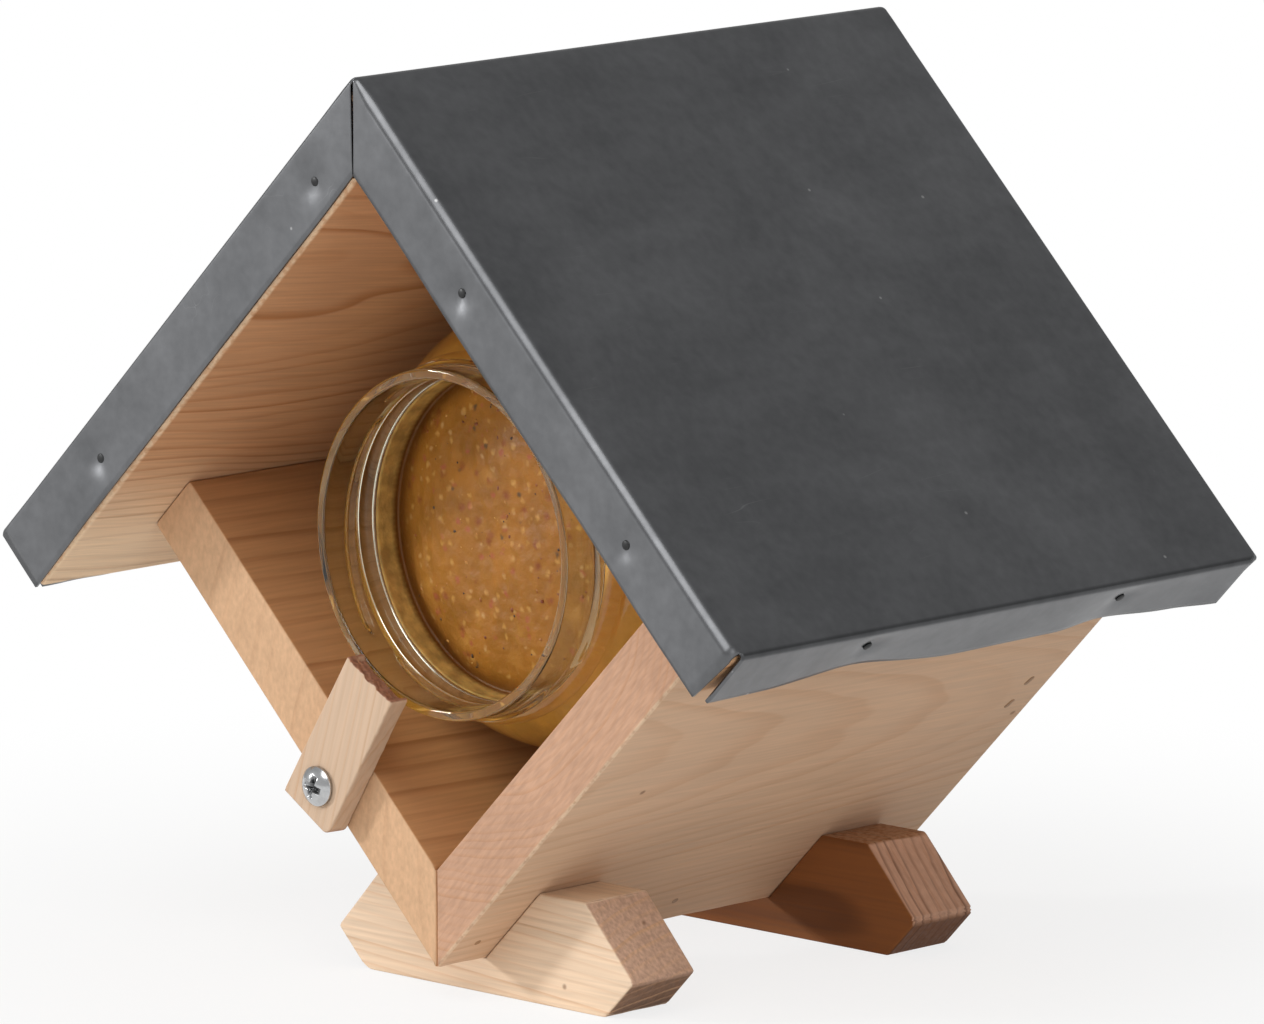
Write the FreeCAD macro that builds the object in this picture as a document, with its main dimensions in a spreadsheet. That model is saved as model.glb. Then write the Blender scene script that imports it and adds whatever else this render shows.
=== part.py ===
"""Peanut butter bird feeder.

A square wooden house stands on one corner, the keel, in the notches of two feet.  Two side boards
make a V trough, two roof boards close the square above it, and one folded metal sheet covers the
roof.  A jar of peanut butter lies in the trough with its mouth to the front, and a wooden turn
button on the left board's end keeps it in.

Frame: millimetres, +X to the right seen from the front, front towards -Y, +Z up.  The origin is on
the ground under the middle of the roof.  The boards are drawn in a tilted frame whose origin is on
the keel: its x runs up the right side board and its z runs up the left one.
"""
import FreeCAD, Part
import math
import os
import Sketcher

DIMENSIONS = {
    "jar_body_diameter": (96.8, "outside of the jar's body"),
    "jar_length": (118, "rim to base of the jar"),
    "jar_wall": (3.6, "glass of the jar's body and shoulder"),
    "jar_neck_wall": (2.4, "glass of the jar's neck"),
    "jar_base": (5, "glass of the jar's base"),
    "jar_base_round": (8, "outer round between the jar's body and base"),
    "jar_shoulder_step": (11.2, "how far the jar's body stands out past its neck"),
    "jar_shoulder_length": (20.3, "end of the neck to the full body, along the jar"),
    "jar_neck_length": (17.2, "rim to the start of the shoulder"),
    "jar_lip_round": (0.9, "rounding of the jar's lip"),
    "jar_bead_setback": (1.1, "bead under the thread to the start of the shoulder"),
    "jar_bead_width": (5.2, "bead, along the jar"),
    "jar_bead_rise": (2.4, "how far the bead stands out"),
    "jar_lug_place": (7.4, "rim to the middle of the thread lugs"),
    "jar_lug_width": (2.6, "thread lug, along the jar"),
    "jar_lug_rise": (1.1, "how far a thread lug stands out"),
    "jar_lug_root": (0.6, "how deep a thread lug is rooted in the neck"),
    "jar_lug_sweep": (50, "angle that one thread lug covers, degrees"),
    "jar_clearance": (0.3, "jar to the two boards that it lies on"),
    "jar_room": (7.6, "space between the jar and the roof boards"),
    "jar_setback": (1.8, "jar's rim behind the side boards' front ends"),
    "jar_back_play": (2, "jar's base to the back panel"),
    "fill_depth": (22, "rim to the peanut butter's edge"),
    "fill_crown": (3, "how far the peanut butter rises in the middle"),
    "fill_clearance": (0.05, "peanut butter to glass"),
    "side_thickness": (15, "side boards"),
    "roof_thickness": (15, "roof boards"),
    "back_thickness": (15, "back panel"),
    "back_clearance": (0.1, "back panel to the boards round it"),
    "front_overhang": (22.2, "roof boards past the side boards' front ends"),
    "eave_overhang": (17.5, "roof boards past the side boards' outer faces"),
    "keel_height": (7.5, "ground to the keel"),
    "sheet_thickness": (0.7, "roof sheet"),
    "sheet_clearance": (0.1, "roof sheet to the roof boards"),
    "sheet_fold": (1.2, "outer radius of the sheet's folds"),
    "flange_reveal": (0.7, "roof board left bare under the sheet's folded edge"),
    "corner_notch": (1.5, "open notch between two folded edges at an eave corner"),
    "ridge_slit": (0.8, "slit between the two folded edges at the ridge"),
    "foot_length": (88.2, "foot, left to right"),
    "foot_height": (23.8, "foot"),
    "foot_thickness": (18.6, "foot, front to back"),
    "foot_heel": (8.4, "lower bevel at each end of a foot"),
    "foot_top": (59.6, "width over the foot's upper edges"),
    "front_foot_setback": (14.2, "front foot behind the side boards' front ends"),
    "rear_foot_setback": (17.5, "rear foot in front of the side boards' rear ends"),
    "button_width": (15.7, "turn button"),
    "button_thickness": (5.1, "turn button"),
    "button_end": (7.7, "turn button's lower end to its pivot"),
    "button_lean": (32, "turn button's lean from upright, degrees"),
    "button_overlap": (4.7, "how far the turn button reaches over the jar's rim"),
    "button_gap": (0.2, "turn button to the board behind and the screw head before it"),
    "pivot_inset": (4.4, "pivot to the left board's outer face"),
    "pivot_drop": (17.3, "pivot below the jar's axis, along the left board"),
    "pivot_clearance": (0.08, "screw to the turn button's bore"),
    "screw_diameter": (4, "turn button screw"),
    "screw_length": (26, "turn button screw under its head"),
    "screw_point": (5, "pointed end of the screw"),
    "screw_head": (8.6, "diameter of the screw's head"),
    "screw_head_edge": (0.7, "straight edge of the screw's head"),
    "screw_head_dome": (1.6, "domed part of the screw's head"),
    "recess_span": (4.6, "cross recess, tip to tip"),
    "recess_arm": (1.2, "width of the cross recess's arms"),
    "recess_depth": (1.9, "depth of the cross recess"),
    "nail_diameter": (1.4, "sheet nails"),
    "nail_length": (16, "sheet nails under their heads"),
    "nail_head": (2.6, "diameter of the sheet nails' heads"),
    "nail_head_height": (0.5, "sheet nails' heads"),
    "left_nail_place": (25.3, "ridge to the upper nail of the left end edges"),
    "right_nail_place": (52.1, "ridge to the upper nail of the right end edges"),
    "eave_nail_inset": (35.9, "eave to the lower nails of the end edges"),
    "eave_nail_drop": (6.7, "sheet's top to the eave nails"),
    "eave_nail_front": (44.9, "sheet's front to the first eave nail"),
    "eave_nail_rear": (38.4, "sheet's rear to the second eave nail"),
    "brad_diameter": (1.6, "brads in the boards"),
    "brad_length": (32, "brads in the boards"),
    "foot_brad_length": (25, "brads from the trough into the feet"),
    "foot_brad_spacing": (9, "foot brads, front to back"),
    "keel_brad_inset": (7, "side boards' ends to the outer keel brads"),
    "roof_brad_inset": (20, "side boards' ends to the outer roof brads"),
    "ridge_brad_inset": (24, "roof boards' ends to the outer ridge brads"),
    "panel_brad_spacing": (8.1, "the two brads in each edge of the back panel"),
    "drive_clearance": (0.05, "nail, brad or screw to its hole"),
}

UPRIGHT = FreeCAD.Rotation()
TILT = FreeCAD.Rotation(FreeCAD.Vector(0, 1, 0), -45)
LUG_COUNT = 4

# Places along the house, front to back
SIDE_DEPTH = "(dims.jar_setback + dims.jar_length + dims.jar_back_play + dims.back_thickness)"
ROOF_DEPTH = f"({SIDE_DEPTH} + dims.front_overhang)"
REAR = f"({ROOF_DEPTH} / 2)"
SIDE_FRONT = f"({REAR} - {SIDE_DEPTH})"
SHEET_REAR = f"({REAR} + dims.sheet_clearance + dims.sheet_thickness)"
SHEET_FRONT = f"(-{SHEET_REAR})"
PANEL_MIDDLE = f"({REAR} - dims.back_thickness / 2)"
FRONT_FOOT_REAR = f"({SIDE_FRONT} + dims.front_foot_setback + dims.foot_thickness)"
REAR_FOOT_REAR = f"({REAR} - dims.rear_foot_setback)"

# Places across the tilted square, from the keel
JAR_RADIUS = "(dims.jar_body_diameter / 2)"
JAR_AXIS = f"(dims.side_thickness + dims.jar_clearance + {JAR_RADIUS})"
ROOF_INNER = f"({JAR_AXIS} + {JAR_RADIUS} + dims.jar_clearance + dims.jar_room)"
ROOF_OUTER = f"({ROOF_INNER} + dims.roof_thickness)"
ROOF_MIDDLE = f"({ROOF_INNER} + dims.roof_thickness / 2)"
SHEET_INNER = f"({ROOF_OUTER} + dims.sheet_clearance)"
SHEET_OUTER = f"({SHEET_INNER} + dims.sheet_thickness)"
FLANGE_EDGE = f"({ROOF_INNER} + dims.flange_reveal)"
EAVE = "(-dims.eave_overhang)"
EAVE_INNER = f"({EAVE} - dims.sheet_clearance)"
EAVE_OUTER = f"({EAVE_INNER} - dims.sheet_thickness)"
SIDE_MIDDLE = "(dims.side_thickness / 2)"
PANEL_LOW = "(dims.side_thickness + dims.back_clearance)"
PANEL_HIGH = f"({ROOF_INNER} - dims.back_clearance)"
PANEL_CENTRE = f"((dims.side_thickness + {ROOF_INNER}) / 2)"
PIVOT_RISE = f"({JAR_AXIS} - dims.pivot_drop)"
NOTCH_HALF = "(dims.foot_height - dims.keel_height)"
FOOT_BRAD_RISE = f"((dims.side_thickness + sqrt(2) * {NOTCH_HALF}) / 2)"

# The jar's profile, as radii and as depths behind its rim
NECK_RADIUS = f"({JAR_RADIUS} - dims.jar_shoulder_step)"
NECK_BORE = f"({NECK_RADIUS} - dims.jar_neck_wall)"
BODY_BORE = f"({JAR_RADIUS} - dims.jar_wall)"
SHOULDER_END = "(dims.jar_neck_length + dims.jar_shoulder_length)"
SHOULDER_ROUND = ("((dims.jar_shoulder_step ^ 2 + dims.jar_shoulder_length ^ 2)"
                  " / (2 * dims.jar_shoulder_step))")
SHOULDER_CENTRE = f"({JAR_RADIUS} - {SHOULDER_ROUND})"
BASE_ROUND_INSIDE = "(dims.jar_base_round - dims.jar_wall)"
BASE_INSIDE = "(dims.jar_length - dims.jar_base)"

doc = FreeCAD.newDocument("bird_feeder")
dims = doc.addObject("Spreadsheet::Sheet", "dims")
for row, (alias, (size, meaning)) in enumerate(DIMENSIONS.items(), start=1):
    dims.set(f"A{row}", meaning)
    dims.set(f"B{row}", str(size))
    dims.setAlias(f"B{row}", alias)
doc.recompute()

parts = []


def new_body(name, rotation, x="0", y="0", z="0"):
    """An empty sub-part with its place bound to the dimensions."""
    body = doc.addObject("PartDesign::Body", name)
    body.Label = name
    body.AllowCompound = True
    body.Placement = FreeCAD.Placement(FreeCAD.Vector(), rotation)
    for axis, place in (("x", x), ("y", y), ("z", z)):
        body.setExpression(f"Placement.Base.{axis}", place)
    parts.append(body)
    return body


def tilted_body(name):
    """A sub-part drawn in the tilted frame on the keel."""
    return new_body(name, TILT, z="dims.keel_height")


def new_sketch(body, name, plane, level="0"):
    """A sketch parallel to one of the body's origin planes, at a level along the third axis."""
    sketch = body.newObject("Sketcher::SketchObject", name)
    support = next(item for item in body.Origin.OriginFeatures if item.Role == plane)
    sketch.AttachmentSupport = [(support, "")]
    sketch.MapMode = "FlatFace"
    sign = "-" if plane == "XZ_Plane" else ""
    sketch.setExpression("AttachmentOffset.Base.z", f"{sign}({level})")
    return sketch


def dimension_point(sketch, geometry, end, place):
    """Dimension one point from the sketch's origin."""
    for kind, expression in zip(("DistanceX", "DistanceY"), place):
        size = float(sketch.evalExpression(expression))
        index = sketch.addConstraint(Sketcher.Constraint(kind, -1, 1, geometry, end, size))
        sketch.setExpression(f"Constraints[{index}]", expression)


def arc_between(start, end, radius, side):
    """The short arc from start to end that bulges to the left (side 1) or right (side -1)."""
    chord = end - start
    half = chord.Length / 2
    sagitta = radius - math.sqrt(max(radius ** 2 - half ** 2, 0))
    left = FreeCAD.Vector(-chord.y, chord.x, 0).normalize()
    middle = (start + end) * 0.5 + left * (side * sagitta)
    return Part.Arc(start, middle, end)


def outline(sketch, corners):
    """A closed outline.  A corner is (x, y), or (x, y, radius, side) where an arc leaves it."""
    first = sketch.GeometryCount
    count = len(corners)
    points = []
    for corner in corners:
        x, y = (float(sketch.evalExpression(place)) for place in corner[:2])
        points.append(FreeCAD.Vector(x, y, 0))
    begin_end = []
    for index, corner in enumerate(corners):
        start, end = points[index], points[(index + 1) % count]
        if len(corner) == 2:
            sketch.addGeometry(Part.LineSegment(start, end), False)
            begin_end.append((1, 2))
            continue
        radius = float(sketch.evalExpression(corner[2]))
        sketch.addGeometry(arc_between(start, end, radius, corner[3]), False)
        begin_end.append((2, 1) if corner[3] > 0 else (1, 2))
    for index, corner in enumerate(corners):
        follower = (index + 1) % count
        sketch.addConstraint(Sketcher.Constraint(
            "Coincident", first + index, begin_end[index][1],
            first + follower, begin_end[follower][0]))
        dimension_point(sketch, first + index, begin_end[index][0], corner[:2])
        if len(corner) == 4:
            radius = float(sketch.evalExpression(corner[2]))
            bound = sketch.addConstraint(Sketcher.Constraint("Radius", first + index, radius))
            sketch.setExpression(f"Constraints[{bound}]", corner[2])


def circles(sketch, centres, diameter):
    """Circles of one diameter round the given centres."""
    size = float(sketch.evalExpression(diameter))
    for centre in centres:
        x, y = (float(sketch.evalExpression(place)) for place in centre)
        circle = Part.Circle(FreeCAD.Vector(x, y, 0), FreeCAD.Vector(0, 0, 1), size / 2)
        index = sketch.addGeometry(circle, False)
        dimension_point(sketch, index, 3, centre)
        bound = sketch.addConstraint(Sketcher.Constraint("Diameter", index, size))
        sketch.setExpression(f"Constraints[{bound}]", diameter)


def solid_volume(body):
    """Volume of a body so far, nothing before its first feature."""
    return 0 if body.Shape.isNull() else body.Shape.Volume


def extrude(body, kind, sketch, plane, toward, length):
    """Pad or Pocket of a sketch along its third axis, upwards (1) or downwards (-1)."""
    before = solid_volume(body)
    feature = body.newObject(f"PartDesign::{kind}", f"{sketch.Name}_{kind.lower()}")
    feature.Profile = sketch
    feature.setExpression("Length", length)
    along_normal = -toward if plane == "XZ_Plane" else toward
    feature.Reversed = along_normal < 0 if kind == "Pad" else along_normal > 0
    doc.recompute()
    change = solid_volume(body) - before
    if change * (1 if kind == "Pad" else -1) <= 0:
        raise RuntimeError(f"{feature.Name} changes nothing")
    return feature


def board(body, corners, rear, depth):
    """A straight prism: an outline seen from the front, run forwards from its rear face."""
    sketch = new_sketch(body, f"{body.Name}_section", "XZ_Plane", rear)
    outline(sketch, corners)
    return extrude(body, "Pad", sketch, "XZ_Plane", -1, depth)


def turned(body, corners):
    """A solid of revolution about the body's y axis, from an outline of (radius, y)."""
    sketch = new_sketch(body, f"{body.Name}_profile", "XY_Plane")
    outline(sketch, corners)
    feature = body.newObject("PartDesign::Revolution", f"{body.Name}_turned")
    feature.Profile = sketch
    feature.ReferenceAxis = (sketch, ["V_Axis"])
    feature.Angle = 360
    doc.recompute()
    return feature


def fasteners(name, runs, diameter, length, head=None, head_height=None):
    """A group of like nails or brads.  A run is (plane, level, toward, centres)."""
    body = tilted_body(name)
    for number, (plane, level, toward, centres) in enumerate(runs, start=1):
        shanks = new_sketch(body, f"{name}_shanks_{number}", plane, level)
        circles(shanks, centres, diameter)
        extrude(body, "Pad", shanks, plane, toward, length)
        if head:
            heads = new_sketch(body, f"{name}_heads_{number}", plane, level)
            circles(heads, centres, head)
            extrude(body, "Pad", heads, plane, -toward, head_height)
    return body


def drill(body, name, run, diameter, length):
    """Holes for one run of fasteners, with the drive clearance round and beyond each."""
    plane, level, toward, centres = run
    sketch = new_sketch(body, f"{body.Name}_{name}", plane, level)
    circles(sketch, centres, f"{diameter} + 2 * dims.drive_clearance")
    extrude(body, "Pocket", sketch, plane, toward, f"{length} + dims.drive_clearance")


def mirrored(run):
    """The same run on the other side of the house, with the tilted x and z exchanged."""
    plane, level, toward, centres = run
    other = {"XY_Plane": "YZ_Plane", "YZ_Plane": "XY_Plane"}[plane]
    return other, level, toward, [(second, first) for first, second in centres]


def tilted_point(x, z):
    """A place seen upright from the front, as the tilted frame's x and z."""
    return (f"(({x}) + ({z}) - dims.keel_height) / sqrt(2)",
            f"(({z}) - dims.keel_height - ({x})) / sqrt(2)")


def exchanged(corners):
    """An outline reflected to the other side of the house."""
    return [(z, x) for x, z in corners]


# Runs of fasteners: those of the right half are given, and the left half mirrors them
keel_places = [f"{SIDE_FRONT} + dims.keel_brad_inset",
               f"({FRONT_FOOT_REAR} + {REAR_FOOT_REAR} - dims.foot_thickness) / 2",
               f"{REAR} - dims.keel_brad_inset"]
roof_places = [f"{SIDE_FRONT} + dims.roof_brad_inset",
               f"({SIDE_FRONT} + {REAR}) / 2",
               f"{REAR} - dims.roof_brad_inset"]
ridge_places = [f"-{REAR} + dims.ridge_brad_inset", "0", f"{REAR} - dims.ridge_brad_inset"]
panel_places = [f"{PANEL_CENTRE} - dims.panel_brad_spacing / 2",
                f"{PANEL_CENTRE} + dims.panel_brad_spacing / 2"]
eave_places = [f"{SHEET_FRONT} + dims.eave_nail_front", f"{SHEET_REAR} - dims.eave_nail_rear"]

keel_run = ("XY_Plane", "0", 1, [(SIDE_MIDDLE, place) for place in keel_places])
ridge_run = ("YZ_Plane", ROOF_OUTER, -1, [(place, ROOF_MIDDLE) for place in ridge_places])
roof_run = ("YZ_Plane", ROOF_OUTER, -1, [(place, SIDE_MIDDLE) for place in roof_places])
panel_side_run = ("XY_Plane", "0", 1, [(place, PANEL_MIDDLE) for place in panel_places])
panel_roof_run = ("YZ_Plane", ROOF_OUTER, -1, [(PANEL_MIDDLE, place) for place in panel_places])
eave_run = ("XY_Plane", EAVE_OUTER, 1,
            [(f"{SHEET_OUTER} - dims.eave_nail_drop", place) for place in eave_places])
flange_centres = [
    (ROOF_MIDDLE, f"{SHEET_OUTER} - dims.right_nail_place"),
    (ROOF_MIDDLE, f"{EAVE_OUTER} + dims.eave_nail_inset"),
    (f"{SHEET_OUTER} - dims.left_nail_place", ROOF_MIDDLE),
    (f"{EAVE_OUTER} + dims.eave_nail_inset", ROOF_MIDDLE)]
front_flange_run = ("XZ_Plane", SHEET_FRONT, 1, flange_centres)
rear_flange_run = ("XZ_Plane", SHEET_REAR, -1, flange_centres)


def foot_run(rear):
    """Two brads from the right half of the trough into the foot whose rear face is given."""
    middle = f"{rear} - dims.foot_thickness / 2"
    places = [f"{middle} - dims.foot_brad_spacing / 2", f"{middle} + dims.foot_brad_spacing / 2"]
    return "XY_Plane", "dims.side_thickness", -1, [(FOOT_BRAD_RISE, place) for place in places]


front_foot_run = foot_run(FRONT_FOOT_REAR)
rear_foot_run = foot_run(REAR_FOOT_REAR)


def drill_brads(body, **runs):
    """Brad holes in a board, one pocket for each named run."""
    for name, run in runs.items():
        drill(body, name, run, "dims.brad_diameter", "dims.brad_length")


def drill_foot_brads(body, **runs):
    """Holes of the shorter brads between trough and feet."""
    for name, run in runs.items():
        drill(body, name, run, "dims.brad_diameter", "dims.foot_brad_length")


def drill_nails(body, **runs):
    """Holes of the nails that hold the roof sheet's folded edges."""
    for name, run in runs.items():
        drill(body, name, run, "dims.nail_diameter", "dims.nail_length")


# Side boards: mitred together at the keel, square under the roof boards
right_side_outline = [("0", "0"), (ROOF_INNER, "0"), (ROOF_INNER, "dims.side_thickness"),
                      ("dims.side_thickness", "dims.side_thickness")]
right_side = tilted_body("right_side_board")
board(right_side, right_side_outline, REAR, SIDE_DEPTH)
drill_brads(right_side, keel=keel_run, roof=roof_run, panel=panel_side_run)
drill_foot_brads(right_side, front_foot=front_foot_run, rear_foot=rear_foot_run)

left_side = tilted_body("left_side_board")
board(left_side, exchanged(right_side_outline), REAR, SIDE_DEPTH)
drill_brads(left_side, keel=keel_run, roof=mirrored(roof_run), panel=mirrored(panel_side_run))
drill_foot_brads(left_side, front_foot=mirrored(front_foot_run), rear_foot=mirrored(rear_foot_run))
SCREW_DEPTH = "(dims.screw_length - dims.button_thickness - 2 * dims.button_gap)"
screw_run = ("XZ_Plane", SIDE_FRONT, 1, [("dims.pivot_inset", PIVOT_RISE)])
drill(left_side, "screw", screw_run, "dims.screw_diameter", SCREW_DEPTH)

# Roof boards: mitred together at the ridge
right_roof_outline = [(ROOF_INNER, EAVE), (ROOF_OUTER, EAVE), (ROOF_OUTER, ROOF_OUTER),
                      (ROOF_INNER, ROOF_INNER)]
right_roof = tilted_body("right_roof_board")
board(right_roof, right_roof_outline, REAR, ROOF_DEPTH)
drill_brads(right_roof, ridge=ridge_run, roof=roof_run, panel=panel_roof_run)

left_roof = tilted_body("left_roof_board")
board(left_roof, exchanged(right_roof_outline), REAR, ROOF_DEPTH)
drill_brads(left_roof, ridge=ridge_run, roof=mirrored(roof_run), panel=mirrored(panel_roof_run))

right_flange = flange_centres[:2]
left_flange = flange_centres[2:]
for roof_board, centres, eave in ((right_roof, right_flange, eave_run),
                                  (left_roof, left_flange, mirrored(eave_run))):
    drill_nails(roof_board, eave=eave,
                front=front_flange_run[:3] + (centres,), rear=rear_flange_run[:3] + (centres,))

# Back panel: a square board inside the rear ends of the four boards
back_panel = tilted_body("back_panel")
board(back_panel, [(PANEL_LOW, PANEL_LOW), (PANEL_HIGH, PANEL_LOW), (PANEL_HIGH, PANEL_HIGH),
                   (PANEL_LOW, PANEL_HIGH)], REAR, "dims.back_thickness")
drill_brads(back_panel, right=panel_side_run, left=mirrored(panel_side_run),
            right_roof=panel_roof_run, left_roof=mirrored(panel_roof_run))

# Feet: a bar with bevelled ends and a notch that the keel sits in
foot_half = [("0", "dims.keel_height"), (NOTCH_HALF, "dims.foot_height"),
             ("dims.foot_top / 2", "dims.foot_height"), ("dims.foot_length / 2", "dims.foot_heel"),
             ("dims.foot_length / 2 - dims.foot_heel", "0")]
foot_upright = foot_half + [(f"-({x})", z) for x, z in reversed(foot_half[1:])]
foot_outline = [tilted_point(x, z) for x, z in foot_upright]
for name, rear, run in (("front_foot", FRONT_FOOT_REAR, front_foot_run),
                        ("rear_foot", REAR_FOOT_REAR, rear_foot_run)):
    foot = tilted_body(name)
    board(foot, foot_outline, rear, "dims.foot_thickness")
    drill_foot_brads(foot, right=run, left=mirrored(run))

# Roof sheet: a folded tray over both roof boards, open at the eave corners and slit at the ridge
sheet = tilted_body("roof_sheet")
SHEET_DEPTH = f"({SHEET_REAR} - {SHEET_FRONT})"
tray = board(sheet, [(EAVE_OUTER, FLANGE_EDGE), (EAVE_OUTER, SHEET_OUTER), (SHEET_OUTER, SHEET_OUTER),
                     (SHEET_OUTER, EAVE_OUTER), (FLANGE_EDGE, EAVE_OUTER), (FLANGE_EDGE, FLANGE_EDGE)],
             SHEET_REAR, SHEET_DEPTH)
outer_level = float(dims.evalExpression(SHEET_OUTER))
fold_names = []
for number, edge in enumerate(tray.Shape.Edges, start=1):
    ends = [vertex.Point for vertex in edge.Vertexes]
    for axis in (0, 2):
        if all(math.isclose(end[axis], outer_level, abs_tol=1e-6) for end in ends):
            fold_names.append(f"Edge{number}")
folds = sheet.newObject("PartDesign::Fillet", "roof_sheet_folds")
folds.Base = (tray, sorted(set(fold_names)))
folds.setExpression("Radius", "dims.sheet_fold")
doc.recompute()
BELOW_FLANGE = f"({FLANGE_EDGE} - dims.flange_reveal)"
hollow = new_sketch(sheet, "roof_sheet_hollow", "XZ_Plane", f"{REAR} + dims.sheet_clearance")
outline(hollow, [(EAVE_INNER, BELOW_FLANGE), (EAVE_INNER, SHEET_INNER), (SHEET_INNER, SHEET_INNER),
                 (SHEET_INNER, EAVE_INNER), (BELOW_FLANGE, EAVE_INNER), (BELOW_FLANGE, BELOW_FLANGE)])
extrude(sheet, "Pocket", hollow, "XZ_Plane", -1, f"{ROOF_DEPTH} + 2 * dims.sheet_clearance")
HALF_SLIT = "(dims.ridge_slit / sqrt(8))"
slit_low = BELOW_FLANGE
slit_high = f"({SHEET_INNER} - {HALF_SLIT})"
slit = new_sketch(sheet, "roof_sheet_slit", "XZ_Plane", SHEET_REAR)
outline(slit, [(f"{slit_low} - {HALF_SLIT}", f"{slit_low} + {HALF_SLIT}"),
               (f"{slit_high} - {HALF_SLIT}", f"{slit_high} + {HALF_SLIT}"),
               (f"{slit_high} + {HALF_SLIT}", f"{slit_high} - {HALF_SLIT}"),
               (f"{slit_low} + {HALF_SLIT}", f"{slit_low} - {HALF_SLIT}")])
extrude(sheet, "Pocket", slit, "XZ_Plane", -1, SHEET_DEPTH)
NOTCH_OUT = f"({EAVE_OUTER} - dims.corner_notch)"
NOTCH_IN = f"({EAVE_OUTER} + dims.corner_notch)"
for end_name, end, step in (("front", SHEET_FRONT, 1), ("rear", SHEET_REAR, -1)):
    y_out = f"{end} - {step} * dims.corner_notch"
    y_in = f"{end} + {step} * dims.corner_notch"
    notch = [(y_out, NOTCH_OUT), (y_in, NOTCH_OUT), (y_in, NOTCH_IN), (y_out, NOTCH_IN)]
    for side_name, plane, corners in (("right", "YZ_Plane", notch), ("left", "XY_Plane", exchanged(notch))):
        cut = new_sketch(sheet, f"roof_sheet_{end_name}_{side_name}_notch", plane, SHEET_INNER)
        outline(cut, corners)
        extrude(sheet, "Pocket", cut, plane, -1, f"{SHEET_INNER} - {BELOW_FLANGE}")
drill_nails(sheet, front=front_flange_run, rear=rear_flange_run, right_eave=eave_run,
            left_eave=mirrored(eave_run))

# Nails and brads
for name, runs in (("front_flange_nails", [front_flange_run]), ("rear_flange_nails", [rear_flange_run]),
                   ("eave_nails", [eave_run, mirrored(eave_run)])):
    fasteners(name, runs, "dims.nail_diameter", "dims.nail_length", "dims.nail_head", "dims.nail_head_height")
for name, runs in (("keel_brads", [keel_run]), ("ridge_brads", [ridge_run]),
                   ("roof_board_brads", [roof_run, mirrored(roof_run)]),
                   ("back_panel_brads", [panel_side_run, mirrored(panel_side_run),
                                         panel_roof_run, mirrored(panel_roof_run)])):
    fasteners(name, runs, "dims.brad_diameter", "dims.brad_length")
for name, run in (("front_foot_brads", front_foot_run), ("rear_foot_brads", rear_foot_run)):
    fasteners(name, [run, mirrored(run)], "dims.brad_diameter", "dims.foot_brad_length")

# Turn button and its screw, both about the pivot in the left board's front end
PIVOT_X = f"((dims.pivot_inset - {PIVOT_RISE}) / sqrt(2))"
PIVOT_Z = f"(dims.keel_height + (dims.pivot_inset + {PIVOT_RISE}) / sqrt(2))"
PIVOT_TO_AXIS = f"sqrt(({JAR_AXIS} - dims.pivot_inset) ^ 2 + dims.pivot_drop ^ 2)"
BUTTON_REACH = f"({PIVOT_TO_AXIS} - {NECK_RADIUS} + dims.button_overlap)"
button = new_body("turn_button", FreeCAD.Rotation(FreeCAD.Vector(0, 1, 0), 1), PIVOT_X, SIDE_FRONT, PIVOT_Z)
button.setExpression("Placement.Rotation.Angle", "dims.button_lean")
HALF_BUTTON = "dims.button_width / 2"
board(button, [(f"-{HALF_BUTTON}", "-dims.button_end"), (HALF_BUTTON, "-dims.button_end"),
               (HALF_BUTTON, BUTTON_REACH), (f"-{HALF_BUTTON}", BUTTON_REACH)],
      "-dims.button_gap", "dims.button_thickness")
bore = new_sketch(button, "turn_button_bore", "XZ_Plane", "-dims.button_gap")
circles(bore, [("0", "0")], "dims.screw_diameter + 2 * dims.pivot_clearance")
extrude(button, "Pocket", bore, "XZ_Plane", -1, "dims.button_thickness")

screw = new_body("turn_button_screw", UPRIGHT, PIVOT_X, SIDE_FRONT, PIVOT_Z)
HEAD_UNDER = "(-dims.button_thickness - 2 * dims.button_gap)"
HEAD_EDGE = f"({HEAD_UNDER} - dims.screw_head_edge)"
HEAD_TOP = f"({HEAD_EDGE} - dims.screw_head_dome)"
HEAD_RADIUS = "(dims.screw_head / 2)"
DOME_ROUND = f"(({HEAD_RADIUS} ^ 2 + dims.screw_head_dome ^ 2) / (2 * dims.screw_head_dome))"
SHANK = "dims.screw_diameter / 2"
turned(screw, [("0", HEAD_TOP, DOME_ROUND, -1), (HEAD_RADIUS, HEAD_EDGE), (HEAD_RADIUS, HEAD_UNDER),
               (SHANK, HEAD_UNDER), (SHANK, f"{SCREW_DEPTH} - dims.screw_point"), ("0", SCREW_DEPTH)])
ARM = "dims.recess_arm / 2"
TIP = "dims.recess_span / 2"
quarter = [(ARM, TIP), (ARM, ARM), (TIP, ARM)]
cross = list(quarter)
cross += [(x, f"-{z}") for x, z in reversed(quarter)]
cross += [(f"-{x}", f"-{z}") for x, z in quarter]
cross += [(f"-{x}", z) for x, z in reversed(quarter)]
recess = new_sketch(screw, "turn_button_screw_recess", "XZ_Plane", HEAD_TOP)
outline(recess, cross)
extrude(screw, "Pocket", recess, "XZ_Plane", 1, "dims.recess_depth")

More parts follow.
